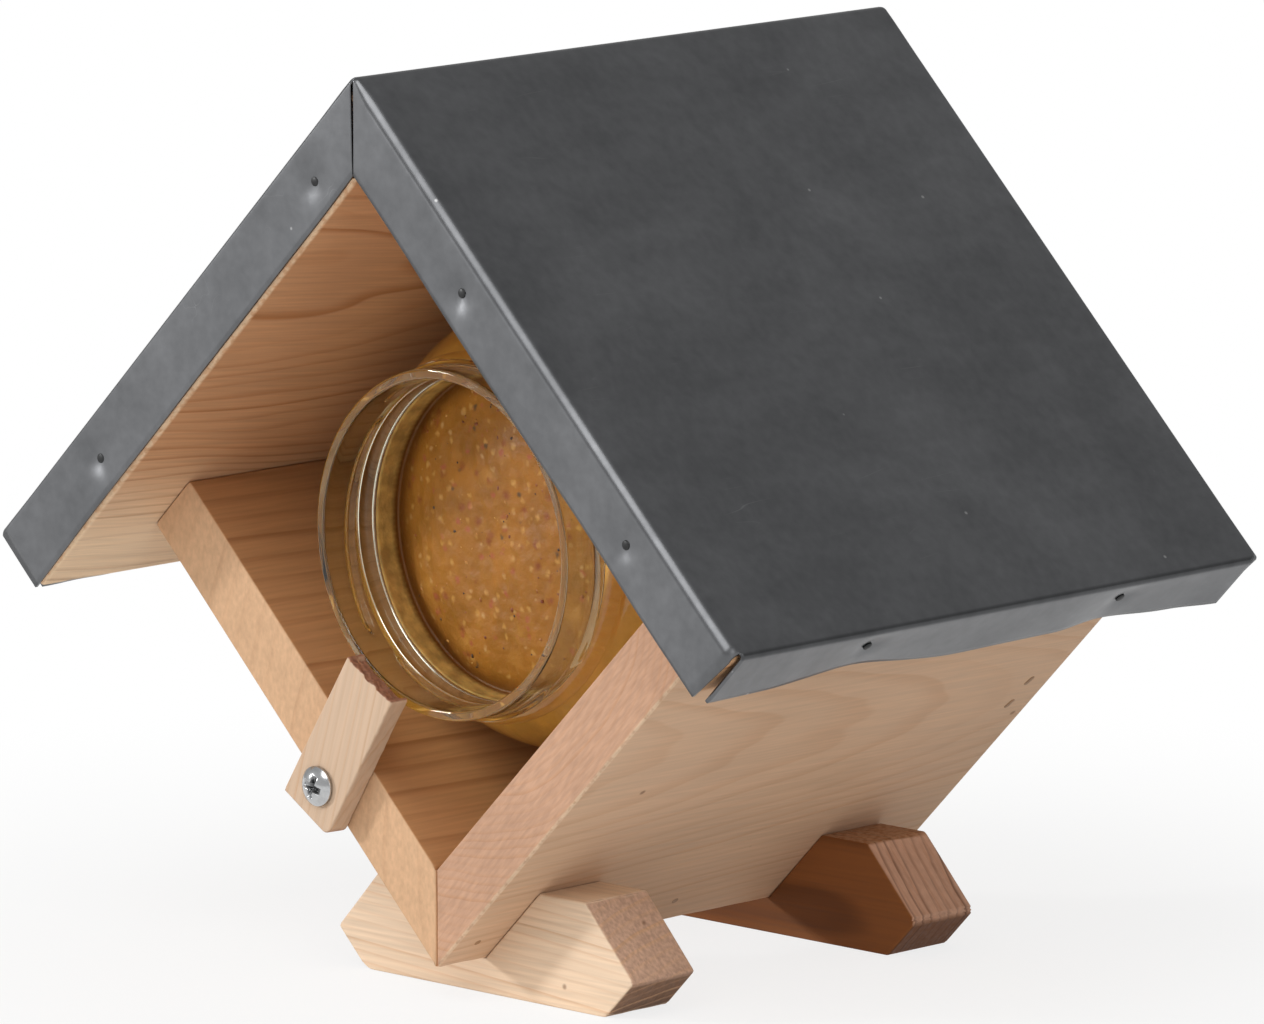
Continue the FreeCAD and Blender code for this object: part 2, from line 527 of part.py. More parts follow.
# Jar: turned about its axis, with four thread lugs on the neck
JAR_Z = f"(dims.keel_height + sqrt(2) * {JAR_AXIS})"
JAR_FRONT = f"({SIDE_FRONT} + dims.jar_setback)"
BEAD_END = "(dims.jar_neck_length - dims.jar_bead_setback)"
BEAD_START = f"({BEAD_END} - dims.jar_bead_width)"
BEAD_ROUND = ("(((dims.jar_bead_width / 2) ^ 2 + dims.jar_bead_rise ^ 2)"
              " / (2 * dims.jar_bead_rise))")
SHOULDER_INSIDE = f"({SHOULDER_ROUND} - dims.jar_wall)"
BORE_END = f"({SHOULDER_END} - sqrt({SHOULDER_INSIDE} ^ 2 - ({NECK_BORE} - {SHOULDER_CENTRE}) ^ 2))"
jar = new_body("glass_jar", UPRIGHT, "0", JAR_FRONT, JAR_Z)
turned(jar, [
    (f"{NECK_RADIUS} - dims.jar_lip_round", "0", "dims.jar_lip_round", -1),
    (NECK_RADIUS, "dims.jar_lip_round"),
    (NECK_RADIUS, BEAD_START, BEAD_ROUND, -1),
    (NECK_RADIUS, BEAD_END),
    (NECK_RADIUS, "dims.jar_neck_length", SHOULDER_ROUND, -1),
    (JAR_RADIUS, SHOULDER_END),
    (JAR_RADIUS, "dims.jar_length - dims.jar_base_round", "dims.jar_base_round", -1),
    (f"{JAR_RADIUS} - dims.jar_base_round", "dims.jar_length"),
    ("0", "dims.jar_length"),
    ("0", BASE_INSIDE),
    (f"{BODY_BORE} - {BASE_ROUND_INSIDE}", BASE_INSIDE, BASE_ROUND_INSIDE, 1),
    (BODY_BORE, f"{BASE_INSIDE} - {BASE_ROUND_INSIDE}"),
    (BODY_BORE, SHOULDER_END, SHOULDER_INSIDE, 1),
    (NECK_BORE, BORE_END),
    (NECK_BORE, "dims.jar_lip_round", "dims.jar_lip_round", -1),
    (f"{NECK_BORE} + dims.jar_lip_round", "0")])
LUG_ROUND = ("(((dims.jar_lug_width / 2) ^ 2 + dims.jar_lug_rise ^ 2)"
             " / (2 * dims.jar_lug_rise))")
LUG_START = "(dims.jar_lug_place - dims.jar_lug_width / 2)"
LUG_END = "(dims.jar_lug_place + dims.jar_lug_width / 2)"
LUG_ROOT = f"({NECK_RADIUS} - dims.jar_lug_root)"
lug_profile = new_sketch(jar, "glass_jar_lug_profile", "XY_Plane")
outline(lug_profile, [(LUG_ROOT, LUG_START), (NECK_RADIUS, LUG_START, LUG_ROUND, -1),
                      (NECK_RADIUS, LUG_END), (LUG_ROOT, LUG_END)])
lug = jar.newObject("PartDesign::Revolution", "glass_jar_lug")
lug.Profile = lug_profile
lug.ReferenceAxis = (lug_profile, ["V_Axis"])
lug.setExpression("Angle", "dims.jar_lug_sweep")
doc.recompute()
lugs = jar.newObject("PartDesign::PolarPattern", "glass_jar_lugs")
lugs.Originals = [lug]
lugs.Axis = (lug_profile, ["V_Axis"])
lugs.Angle = 360
lugs.Occurrences = LUG_COUNT
jar.Tip = lugs
doc.recompute()

# Peanut butter: fills the jar up to the fill depth, with a crowned face
FILL_ROUND = f"({SHOULDER_INSIDE} - dims.fill_clearance)"
FILL_EDGE = f"({SHOULDER_CENTRE} + sqrt({FILL_ROUND} ^ 2 - ({SHOULDER_END} - dims.fill_depth) ^ 2))"
FILL_RADIUS = f"({BODY_BORE} - dims.fill_clearance)"
FILL_BASE = f"({BASE_INSIDE} - dims.fill_clearance)"
FILL_BASE_ROUND = f"({BASE_ROUND_INSIDE} - dims.fill_clearance)"
FILL_FACE_ROUND = f"(({FILL_EDGE} ^ 2 + dims.fill_crown ^ 2) / (2 * dims.fill_crown))"
butter = new_body("peanut_butter", UPRIGHT, "0", JAR_FRONT, JAR_Z)
turned(butter, [
    ("0", "dims.fill_depth - dims.fill_crown", FILL_FACE_ROUND, -1),
    (FILL_EDGE, "dims.fill_depth", FILL_ROUND, -1),
    (FILL_RADIUS, SHOULDER_END),
    (FILL_RADIUS, f"{BASE_INSIDE} - {BASE_ROUND_INSIDE}", FILL_BASE_ROUND, -1),
    (f"{BODY_BORE} - {BASE_ROUND_INSIDE}", FILL_BASE),
    ("0", FILL_BASE)])

doc.recompute()
for item in doc.Objects:
    if "Invalid" in item.State or "Error" in item.State:
        raise RuntimeError(f"{item.Name} failed: {item.State}")
for part in parts:
    if part.Shape.isNull() or not part.Shape.isValid():
        raise RuntimeError(f"{part.Label} has no valid shape")

os.makedirs("parts", exist_ok=True)
for part in parts:
    part.Shape.exportStep(f"parts/{part.Label}.step")
    print(part.Label, len(part.Shape.Solids), round(part.Shape.Volume, 1))
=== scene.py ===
"""Peanut butter bird feeder: the visible pieces, laid out as an add-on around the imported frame.

A trough of two larch boards stands on two notched feet. Two roof boards carry a folded zinc
sheet, a back panel closes the rear, and a jar of peanut butter lies in the trough behind a
wooden turn button.
"""

import math

import bmesh
import bpy
import numpy as np
from mathutils import Matrix, Vector


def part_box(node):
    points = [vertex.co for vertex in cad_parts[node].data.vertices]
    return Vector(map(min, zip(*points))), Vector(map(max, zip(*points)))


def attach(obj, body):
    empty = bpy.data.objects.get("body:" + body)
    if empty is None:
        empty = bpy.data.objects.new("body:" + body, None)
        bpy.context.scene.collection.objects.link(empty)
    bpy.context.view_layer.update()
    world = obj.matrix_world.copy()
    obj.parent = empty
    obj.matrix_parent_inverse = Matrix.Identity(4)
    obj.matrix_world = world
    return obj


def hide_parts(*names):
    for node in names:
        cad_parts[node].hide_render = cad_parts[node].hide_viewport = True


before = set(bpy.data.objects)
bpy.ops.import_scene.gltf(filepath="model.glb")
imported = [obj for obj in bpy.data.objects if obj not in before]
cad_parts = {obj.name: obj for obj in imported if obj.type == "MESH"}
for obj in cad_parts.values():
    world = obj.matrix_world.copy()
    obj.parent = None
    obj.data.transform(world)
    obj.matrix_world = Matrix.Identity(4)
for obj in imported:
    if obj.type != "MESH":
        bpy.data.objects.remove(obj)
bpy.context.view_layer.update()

bl_info = {
    "name": "Peanut butter bird feeder",
    "version": (1, 0, 0),
    "blender": (4, 5, 0),
    "location": "3D View > Sidebar > Feeder",
    "description": "Builds the feeder's boards, zinc roof, jar and studio round its solids",
    "category": "Object",
}

MM = 0.001
# millimetres of rounding that a test of a place allows
SLACK = 0.01
DIAGONAL = math.sqrt(0.5)
FULL_TURN = 2 * math.pi
# linear grey of the bare metal in the roof sheet's scratches and specks
BARE_METAL = (0.5, 0.5, 0.5)


def linear(code):
    """Linear red, green and blue of an sRGB colour written as six hex digits."""
    shown = np.array([int(code[i:i + 2], 16) for i in (0, 2, 4)]) / 255
    return tuple(np.where(shown <= 0.04045, shown / 12.92, ((shown + 0.055) / 1.055) ** 2.4).tolist())


def length(name, description, millimetres):
    """A length property, stored in metres, with its default given in millimetres."""
    return bpy.props.FloatProperty(name=name, description=description, default=millimetres * MM,
                                   unit="LENGTH", subtype="DISTANCE", precision=4)


def colour(name, description, code):
    """A colour property with its default given as an sRGB hex code."""
    return bpy.props.FloatVectorProperty(name=name, description=description, default=linear(code),
                                         size=3, min=0.0, max=1.0, subtype="COLOR")


class FeederSizes(bpy.types.PropertyGroup):
    """Sizes of the feeder's visible pieces."""

    keel: length("Keel height", "Lowest edge of the trough above the ground", 7.5)
    side_thickness: length("Side thickness", "Thickness of the two side boards", 15)
    side_width: length("Side width", "Keel to the upper edge of a side board", 120)
    roof_thickness: length("Roof thickness", "Thickness of the two roof boards", 15)
    eave: length("Eave", "How far a roof board runs out past its side board", 17.5)
    panel_room: length("Panel room", "Back panel to the boards round it", 0.1)
    foot_sole: length("Foot sole", "Half the length of a foot on the ground", 35.7)
    foot_reach: length("Foot reach", "Half the length of a foot at its points", 44.1)
    foot_point: length("Foot point", "Height of a foot's points", 8.4)
    foot_top: length("Foot top", "Half the length of a foot along its top", 29.8)
    foot_height: length("Foot height", "Height of a foot", 23.8)
    edge_round: length("Edge rounding", "Rounding of the sawn edges", 0.7)
    end_round: length("End rounding", "Rounding of the boards' sawn ends", 0.5)
    roof_end_round: length("Roof end rounding", "Rounding of the roof boards' ends", 1.2)
    eave_bevel: length("Eave bevel", "How far a roof board's eave is cut back at its lower edge", 2.4)
    sheet_lift: length("Sheet lift", "Outside of the zinc above the roof boards", 0.8)
    sheet_thickness: length("Sheet thickness", "Thickness of the zinc", 0.7)
    sheet_hem: length("Sheet hem", "Front and rear flanges to the boards' inner face", 0.7)
    eave_hem: length("Eave hem", "Eave flanges to the boards' inner face", 0.4)
    fold_round: length("Fold rounding", "Outer radius of the left and rear folds", 1.2)
    wide_fold: length("Wide fold", "Reach of the wide fold at the right front edge", 2.5)
    eave_round: length("Eave rounding", "Outer radius of the eave folds", 1.25)
    ridge_round: length("Ridge rounding", "Outer radius of the ridge", 1.6)
    nail_head: length("Nail head", "Diameter of a roof nail's head", 2.1)
    eave_nail_drop: length("Eave nail drop", "Roof plane to the eave nails", 6.7)
    brad_long: length("Brad length", "Long side of a back panel brad's head", 3.2)
    brad_wide: length("Brad width", "Short side of a back panel brad's head", 1.6)
    button_lean: bpy.props.FloatProperty(
        name="Button lean", description="Lean of the turn button from upright", default=math.radians(32),
        unit="ROTATION", subtype="ANGLE")
    button_width: length("Button width", "Width of the turn button", 15.7)
    button_reach: length("Button reach", "Pivot to the turn button's upper end", 29.3)
    button_tail: length("Button tail", "Pivot to the turn button's lower end", 7.7)
    screw_head: length("Screw head", "Diameter of the turn button's screw", 8.6)
    jar_radius: length("Jar radius", "Outside of the jar's body", 48.4)
    neck_radius: length("Neck radius", "Outside of the jar's neck", 37.2)
    neck_wall: length("Neck wall", "Glass of the jar's neck", 2.4)
    neck_length: length("Neck length", "Rim to the start of the jar's shoulder", 17.2)
    shoulder_length: length("Shoulder length", "Length of the jar's shoulder along its axis", 20.3)
    lip_width: length("Lip width", "Width of the jar's rim", 2.2)
    bead_width: length("Bead width", "Width of the ring below the jar's thread", 5.2)
    bead_rise: length("Bead rise", "Height of that ring above the neck", 2.4)
    bead_setback: length("Bead setback", "That ring to the start of the shoulder", 1.1)
    jar_wall: length("Jar wall", "Glass of the jar's body", 3.6)
    jar_base: length("Jar base", "Glass of the jar's base", 5)
    base_round: length("Base rounding", "Outer radius round the jar's base", 8)
    fill_depth: length("Fill depth", "Rim to the edge of the peanut butter", 22.0)
    film_depth: length("Film depth", "Rim to the top of the butter's film on the glass", 15.4)
    fill_crown: length("Fill crown", "How far the peanut butter rises in its middle", 3.2)


class FeederColours(bpy.types.PropertyGroup):
    """Colours of the feeder's finishes."""

    # partly painted light: this pale wood also lightens the left roof board towards its eave, and faces that
    # look in a given direction
    sapwood_and_light: colour("Sapwood", "Palest wood, towards the bark", "ecd2b2")
    # painted shade: this dark colour paints the feet's end grain below their points, where shade falls near
    # the ground; it also colours the pin knots
    low_shade_and_knots: colour("Damp end grain", "Stained end grain near the ground", "6a4124")
    zinc: colour("Zinc", "Weathered zinc of the roof", "747577")
    zinc_dark: colour("Zinc stain", "Darker stains on the zinc", "696a6c")
    steel: colour("Steel", "Plated screw and nails", "d2d3d4")
    # brown given to the visible brad heads
    lacquer: colour("Brad lacquer", "Brown lacquer on the visible brads", "a57a50")
    butter: colour("Peanut butter", "Body of the peanut butter", "9f671d")
    # partly painted shade: this dark oil colour also paints shade along the butter's left edge
    oil_and_shade: colour("Peanut oil", "Oily edge of the peanut butter", "5f3204")
    amber: colour("Wet butter", "Line where the butter meets the glass", "a8660c")
    film: colour("Butter film", "Thin film of butter on the neck's glass", "b59350")
    # partly painted light: this butter is made paler to stand for light on the butter behind the jar's
    # shoulder
    pressed_and_lit: colour("Pressed butter", "Peanut butter against the jar's body", "d29b44")
    floor: colour("Floor", "Plain studio floor", "f2f2f0")


# sRGB codes of the pale wood, the growth lines and the sawn ends of each piece
WOODS = {
    "right_side": ("d7b597", "bb8a64", "c29a7f"),
    "left_side": ("ba8a5f", "84502a", "cfa884"),
    "left_roof": ("cc9c74", "a0622f", "cf9f78"),
    "right_roof": ("d3a67d", "a5642f", "d0a078"),
    "back": ("d8b48e", "a8713f", "cf9f7c"),
    "front_foot": ("e4cbb0", "d0a57e", "c29f88"),
    "rear_foot": ("925c33", "522c14", "cba086"),
    "button": ("ceb298", "bf946f", "9a6f5a"),
}
WOOD_PARTS = {"early": "Pale wood between the growth lines", "late": "Dark growth lines", "end": "Sawn ends"}
for wood_name, wood_codes in WOODS.items():
    for (wood_part, about), wood_code in zip(WOOD_PARTS.items(), wood_codes):
        label = f"{wood_name}_{wood_part}"
        FeederColours.__annotations__[label] = colour(label.replace("_", " ").capitalize(), about, wood_code)


def sizes():
    """The sizes in millimetres, and angles in radians, by name."""
    group = bpy.context.scene.feeder_sizes
    names = FeederSizes.__annotations__
    return {name: getattr(group, name) / (1 if name == "button_lean" else MM) for name in names}


def opaque(rgb):
    """A linear colour as a shader's four numbers."""
    return (*rgb, 1.0)


def paint(name, lighter=1.0):
    """A colour of the feeder as a shader's four numbers, made lighter or darker by a factor."""
    return opaque(part * lighter for part in getattr(bpy.context.scene.feeder_colours, name))


def node_of(tree, kind):
    """The node of one kind that a new tree already has."""
    return next(node for node in tree.nodes if node.type == kind)


def feed(tree, node, inputs):
    """Links sockets to a node's inputs and stores other values in them. An input is named, or is counted
    among those that the node's settings leave in use."""
    live = [socket for socket in node.inputs if socket.enabled]
    for key, value in inputs.items():
        socket = live[key] if isinstance(key, int) else next(entry for entry in live if entry.name == key)
        if isinstance(value, bpy.types.NodeSocket):
            tree.links.new(value, socket)
        else:
            socket.default_value = value


def add(tree, kind, inputs=None, out=None, stops=(), **settings):
    """Adds a node with its settings, inputs and, on a colour ramp, stops. Returns the named output, or
    else the first one in use."""
    node = tree.nodes.new("ShaderNode" + kind)
    for name, value in settings.items():
        setattr(node, name, value)
    feed(tree, node, inputs or {})
    for place, shade in stops:
        node.color_ramp.elements.new(place).color = shade
    if stops:
        node.color_ramp.elements.remove(node.color_ramp.elements[0])
        node.color_ramp.elements.remove(node.color_ramp.elements[-1])
    return node.outputs[out] if out else next(socket for socket in node.outputs if socket.enabled)


def new_material(name, constants):
    """A material with one principled shader, whose constant sockets are set by name."""
    material = bpy.data.materials.new(name)
    material.use_nodes = True
    tree = material.node_tree
    shader = node_of(tree, "BSDF_PRINCIPLED")
    feed(tree, shader, constants)
    return material, tree, shader


# nearly all of a noise's values lie in this span
NOISE_SPREAD = {"From Min": 0.3, "From Max": 0.7}
# keeps what lies across the y axis
ACROSS = (1, 0, 1)
# sizes of the patterns in wood, in millimetres across, along and through the grain
SWAY_CELL = (26, 120, 26)
FIBRE_CELL = (0.8, 30, 0.8)
PATCH_CELL = (30, 80, 30)
PORE_RUN = 4
SPLINTER = 1.3
KNOT_SPACING = 22
LOW_SHADE_FADE = 1.2
# strength of the faintest year's line, and how far sapwood hides the lines
FAINT_YEAR = 0.15
FAINT_SAP = 0.6


def growth_rings(tree, log, ring, taper, contrast, soft):
    """Growth rings round the y axis of a log that tapers: the distance from the pith, and the share of dark
    late wood, which starts at the soft share of each ring, ends sharply and varies from year to year."""
    across = add(tree, "VectorMath", {0: log, 1: ACROSS}, operation="MULTIPLY")
    radius = add(tree, "VectorMath", {0: across}, operation="LENGTH")
    run = add(tree, "SeparateXYZ", {0: log}, out="Y")
    cone = add(tree, "Math", {0: run, 1: taper, 2: radius}, operation="MULTIPLY_ADD")
    years = add(tree, "Math", {0: cone, 1: ring}, operation="DIVIDE")
    year = add(tree, "Math", {0: years}, operation="FLOOR")
    season = add(tree, "Math", {0: years}, operation="FRACT")
    vigour = add(tree, "TexWhiteNoise", {"W": year}, noise_dimensions="1D")
    rise = add(tree, "MapRange", {"Value": season, "From Min": soft, "From Max": 0.92},
               interpolation_type="SMOOTHSTEP")
    fall = add(tree, "MapRange", {"Value": season, "From Min": 1.0, "From Max": 0.9},
               interpolation_type="SMOOTHSTEP")
    line = add(tree, "Math", {0: rise, 1: fall}, operation="MULTIPLY")
    force = add(tree, "MapRange", {"Value": vigour, "To Min": FAINT_YEAR * contrast, "To Max": contrast})
    return cone, add(tree, "Math", {0: line, 1: force}, operation="MULTIPLY")


def larch(name, wood, pith, turn, grain, ring=2.4, sway=5.0, taper=0.03, contrast=0.7, soft=0.55,
          sap_and_light=None, low_shade_and_knots=None, fibre=0.1, end_rings=0.85, mottle=0.07, pore=(0.9, 1.6), worn_and_lit=None,
          fray_and_light_strength=0.65):
    """Planed larch, unfinished. Growth rings of the given width run round a pith line at the given place
    and turn and sway to both sides, so that flat faces show flames or stripes and the ends show arcs;
    fibres lie along the grain, and a few pin knots are dark. Sapwood pales between two radii, partly as
    painted light. End grain is painted dark below a height, as painted shade near the ground, and a face
    or rounded edge that looks in the given direction is frayed and made paler, partly as painted light."""
    early, late, end = (paint(f"{wood}_{part}") for part in WOOD_PARTS)
    material, tree, shader = new_material(name, {"Specular IOR Level": 0.2})
    place = add(tree, "TexCoord", out="Object")
    normal = place.node.outputs["Normal"]
    log = add(tree, "Mapping", {"Vector": place, "Location": Vector(pith) * MM, "Scale": (MM, MM, MM),
                                "Rotation": [math.radians(angle) for angle in turn]}, vector_type="TEXTURE")

    def noise(cell, detail, out=None):
        """Noise in the log, whose cells have these sizes across, along and through the grain."""
        cells = add(tree, "Mapping", {"Vector": log, "Scale": [1 / side for side in cell]})
        return add(tree, "TexNoise", {"Vector": cells, "Scale": 1.0, "Detail": detail}, out=out)

    wander = noise(SWAY_CELL, 2.0, "Color")
    bent = add(tree, "VectorMath", {0: wander, 1: (sway, sway, sway), 2: log}, operation="MULTIPLY_ADD")
    cone, late_share = growth_rings(tree, bent, ring, taper, contrast, soft)
    fibres = noise(FIBRE_CELL, 4.0)
    patches = noise(PATCH_CELL, 3.0)
    pores = noise((pore[0], PORE_RUN, pore[1]), 2.0)
    facing = add(tree, "VectorMath", {0: normal, 1: grain}, operation="DOT_PRODUCT")
    square = add(tree, "Math", {0: facing}, operation="ABSOLUTE")
    ends = add(tree, "MapRange", {"Value": square, "From Min": 0.4, "From Max": 0.75})
    # partly painted light: the pale sapwood band also lightens the left roof's underside towards its eave,
    # where light falls
    if sap_and_light is not None:
        outer = add(tree, "MapRange", {"Value": cone, "From Min": sap_and_light[0], "From Max": sap_and_light[1]})
        early = add(tree, "Mix", {0: outer, 1: early, 2: paint("sapwood_and_light")}, data_type="RGBA")
        fainter = add(tree, "Math", {0: outer, 1: FAINT_SAP}, operation="MULTIPLY")
        late = add(tree, "Mix", {0: fainter, 1: late, 2: paint("sapwood_and_light", 0.75)}, data_type="RGBA")
    # painted shade: end grain below the given height is painted dark
    if low_shade_and_knots is not None:
        height = add(tree, "SeparateXYZ", {0: place}, out="Z")
        low = add(tree, "MapRange", {"Value": height, "From Min": low_shade_and_knots * MM,
                                     "From Max": (low_shade_and_knots - LOW_SHADE_FADE) * MM})
        end = add(tree, "Mix", {0: low, 1: end, 2: paint("low_shade_and_knots")}, data_type="RGBA")
    face = add(tree, "Mix", {0: late_share, 1: early, 2: late}, data_type="RGBA")
    end_share = add(tree, "Math", {0: late_share, 1: end_rings}, operation="MULTIPLY")
    sawn = add(tree, "Mix", {0: end_share, 1: end, 2: late}, data_type="RGBA")
    surface = add(tree, "Mix", {0: ends, 1: face, 2: sawn}, data_type="RGBA")
    cells = add(tree, "TexVoronoi", {"Vector": log, "Scale": 1 / KNOT_SPACING})
    knot = add(tree, "MapRange", {"Value": cells, "From Min": 0.04, "From Max": 0.02, "To Max": 0.6})
    surface = add(tree, "Mix", {0: knot, 1: surface, 2: paint("low_shade_and_knots")}, data_type="RGBA")
    # painted light: faces and rounded edges that look in the given direction are made paler; on the boards'
    # lower front edges this is frayed wood with a painted highlight
    if worn_and_lit is not None:
        toward = add(tree, "VectorMath", {0: normal, 1: worn_and_lit}, operation="DOT_PRODUCT")
        fray_and_light = add(tree, "MapRange", {"Value": toward, "From Min": 0.74, "From Max": 0.95, "To Max": fray_and_light_strength})
        splinters = add(tree, "TexNoise", {"Vector": log, "Scale": 1 / SPLINTER, "Detail": 2.0})
        frayed = add(tree, "MapRange", {"Value": splinters, "From Min": 0.4, "From Max": 0.55,
                                        "To Min": 0.35})
        fray_and_light = add(tree, "Math", {0: fray_and_light, 1: frayed}, operation="MULTIPLY")
        surface = add(tree, "Mix", {0: fray_and_light, 1: surface, 2: paint("sapwood_and_light")}, data_type="RGBA")
    fibre_tone = add(tree, "MapRange", {"Value": fibres, **NOISE_SPREAD, "To Min": 1 - fibre,
                                        "To Max": 1 + fibre})
    pore_tone = add(tree, "MapRange", {"Value": pores, **NOISE_SPREAD, "To Min": 1 - mottle,
                                       "To Max": 1 + mottle})
    grain_tone = add(tree, "Mix", {0: ends, 1: fibre_tone, 2: pore_tone}, data_type="FLOAT")
    patch_tone = add(tree, "MapRange", {"Value": patches, **NOISE_SPREAD, "To Min": 0.93, "To Max": 1.06})
    tone = add(tree, "Math", {0: grain_tone, 1: patch_tone}, operation="MULTIPLY")
    shade = add(tree, "HueSaturation", {"Value": tone, "Color": surface})
    rough = add(tree, "MapRange", {"Value": fibres, **NOISE_SPREAD, "To Min": 0.55, "To Max": 0.72})
    relief = add(tree, "Math", {0: tone, 1: late_share}, operation="ADD")
    bump = add(tree, "Bump", {"Height": relief, "Strength": 0.35, "Distance": 0.25 * MM})
    feed(tree, shader, {"Base Color": shade, "Roughness": rough, "Normal": bump})
    return material


def weathered_zinc(name, eave):
    """Rolled zinc, folded cold and left to grey. Soft clouds of patina and rubbed smudges, a few fine
    scratches and pale specks, and painted shade in a dark band along the eave folds; a satin metal."""
    material, tree, shader = new_material(name, {"Metallic": 1.0})
    place = add(tree, "TexCoord", out="Object")
    clouds = add(tree, "TexNoise", {"Vector": place, "Scale": 1 / (45 * MM), "Detail": 5.0,
                                    "Roughness": 0.6, "Distortion": 0.5})
    stain = add(tree, "MapRange", {"Value": clouds, "From Min": 0.38, "From Max": 0.62})
    base = add(tree, "Mix", {0: stain, 1: paint("zinc_dark"), 2: paint("zinc")}, data_type="RGBA")
    rub_run = add(tree, "Mapping", {"Vector": place, "Rotation": (0.3, 0.5, 0.4), "Scale": (1, 0.25, 1)})
    rubs = add(tree, "TexNoise", {"Vector": rub_run, "Scale": 1 / (9 * MM), "Detail": 4.0})
    smudge = add(tree, "MapRange", {"Value": rubs, "From Min": 0.35, "From Max": 0.65, "To Min": 0.94,
                                    "To Max": 1.05})

    thread_run = add(tree, "Mapping", {"Vector": place, "Rotation": (0.9, 0.2, 0.7), "Scale": (1, 0.06, 1)})
    threads = add(tree, "TexNoise", {"Vector": thread_run, "Scale": 1 / (6 * MM), "Detail": 1.0})
    middle = add(tree, "Math", {0: threads, 1: 0.5}, operation="SUBTRACT")
    near = add(tree, "Math", {0: middle}, operation="ABSOLUTE")
    thin = add(tree, "MapRange", {"Value": near, "From Min": 0.004, "From Max": 0.0})
    places = add(tree, "TexNoise", {"Vector": place, "Scale": 1 / (20 * MM), "Detail": 1.0})
    seldom = add(tree, "MapRange", {"Value": places, "From Min": 0.62, "From Max": 0.72, "To Max": 0.2})
    scratch = add(tree, "Math", {0: thin, 1: seldom}, operation="MULTIPLY")
    cells = add(tree, "TexVoronoi", {"Vector": place, "Scale": 1 / (14 * MM)})
    speck = add(tree, "MapRange", {"Value": cells, "From Min": 0.035, "From Max": 0.015, "To Max": 0.7})
    marks = add(tree, "Math", {0: scratch, 1: speck}, operation="MAXIMUM")
    marked = add(tree, "Mix", {0: marks, 1: base, 2: opaque(BARE_METAL)}, data_type="RGBA")

    # painted shade: a narrow dark band along each eave fold
    mirrored = add(tree, "VectorMath", {0: place}, operation="ABSOLUTE")
    apart = add(tree, "VectorMath", {0: mirrored, 1: (eave[0] * MM, 0, eave[1] * MM)}, operation="SUBTRACT")
    apart = add(tree, "VectorMath", {0: apart, 1: ACROSS}, operation="MULTIPLY")
    apart = add(tree, "VectorMath", {0: apart}, operation="LENGTH")
    grime = add(tree, "MapRange", {"Value": apart, "From Min": 0.5 * MM, "From Max": 1.5 * MM,
                                   "To Min": 0.5, "To Max": 1.0}, interpolation_type="SMOOTHSTEP")
    spots = add(tree, "TexNoise", {"Vector": place, "Scale": 1 / (2.6 * MM), "Detail": 4.0})
    mottle = add(tree, "MapRange", {"Value": spots, **NOISE_SPREAD, "To Min": 0.93, "To Max": 1.07})
    tone = add(tree, "Math", {0: smudge, 1: grime}, operation="MULTIPLY")
    tone = add(tree, "Math", {0: tone, 1: mottle}, operation="MULTIPLY")
    shade = add(tree, "HueSaturation", {"Value": tone, "Color": marked})
    rough = add(tree, "MapRange", {"Value": stain, "To Min": 0.36, "To Max": 0.3})
    bump = add(tree, "Bump", {"Height": rubs, "Strength": 0.08, "Distance": 0.3 * MM})
    feed(tree, shader, {"Base Color": shade, "Roughness": rough, "Normal": bump})
    return material


def plated_steel(name, shade, dull, rough, metallic=1.0):
    """Steel wire or screw, plated or brown, with a cloudy, slightly dulled surface; recesses that a piece
    marks are painted nearly black, as painted shade."""
    material, tree, shader = new_material(name, {"Metallic": metallic})
    place = add(tree, "TexCoord", out="Object")
    clouds = add(tree, "TexNoise", {"Vector": place, "Scale": 1 / (1.5 * MM), "Detail": 3.0})
    base = add(tree, "Mix", {0: clouds, 1: dull, 2: shade}, data_type="RGBA")
    # painted shade: a piece's marked recesses are painted nearly black
    grime = add(tree, "Attribute", out="Fac", attribute_name="grime")
    dirty = add(tree, "Mix", {0: grime, 1: base, 2: paint("steel", 0.04)}, data_type="RGBA")
    worn_and_lit = add(tree, "MapRange", {"Value": clouds, "To Min": rough + 0.1, "To Max": rough - 0.06})
    feed(tree, shader, {"Base Color": dirty, "Roughness": worn_and_lit})
    return material


def jar_glass(name):
    """Moulded soda-lime glass: clear with a faint olive cast, and smooth. Lamps shine through it."""
    material, tree, shader = new_material(name, {"Transmission Weight": 1.0, "IOR": 1.5, "Roughness": 0.015,
                                                 "Base Color": opaque(linear("eff3e2"))})
    place = add(tree, "TexCoord", out="Object")
    flow = add(tree, "TexNoise", {"Vector": place, "Scale": 1 / (16 * MM), "Detail": 1.0})
    bump = add(tree, "Bump", {"Height": flow, "Strength": 0.12, "Distance": 0.4 * MM})
    feed(tree, shader, {"Normal": bump})
    shadow = add(tree, "LightPath", out="Is Shadow Ray")
    lit = add(tree, "Math", {0: shadow, 1: shadow.node.outputs["Is Diffuse Ray"]}, operation="MAXIMUM")
    clear = add(tree, "BsdfTransparent", {"Color": opaque(linear("fafcf5"))})
    both = add(tree, "MixShader", {0: lit, 1: shader.outputs[0], 2: clear})
    feed(tree, node_of(tree, "OUTPUT_MATERIAL"), {"Surface": both})
    return material


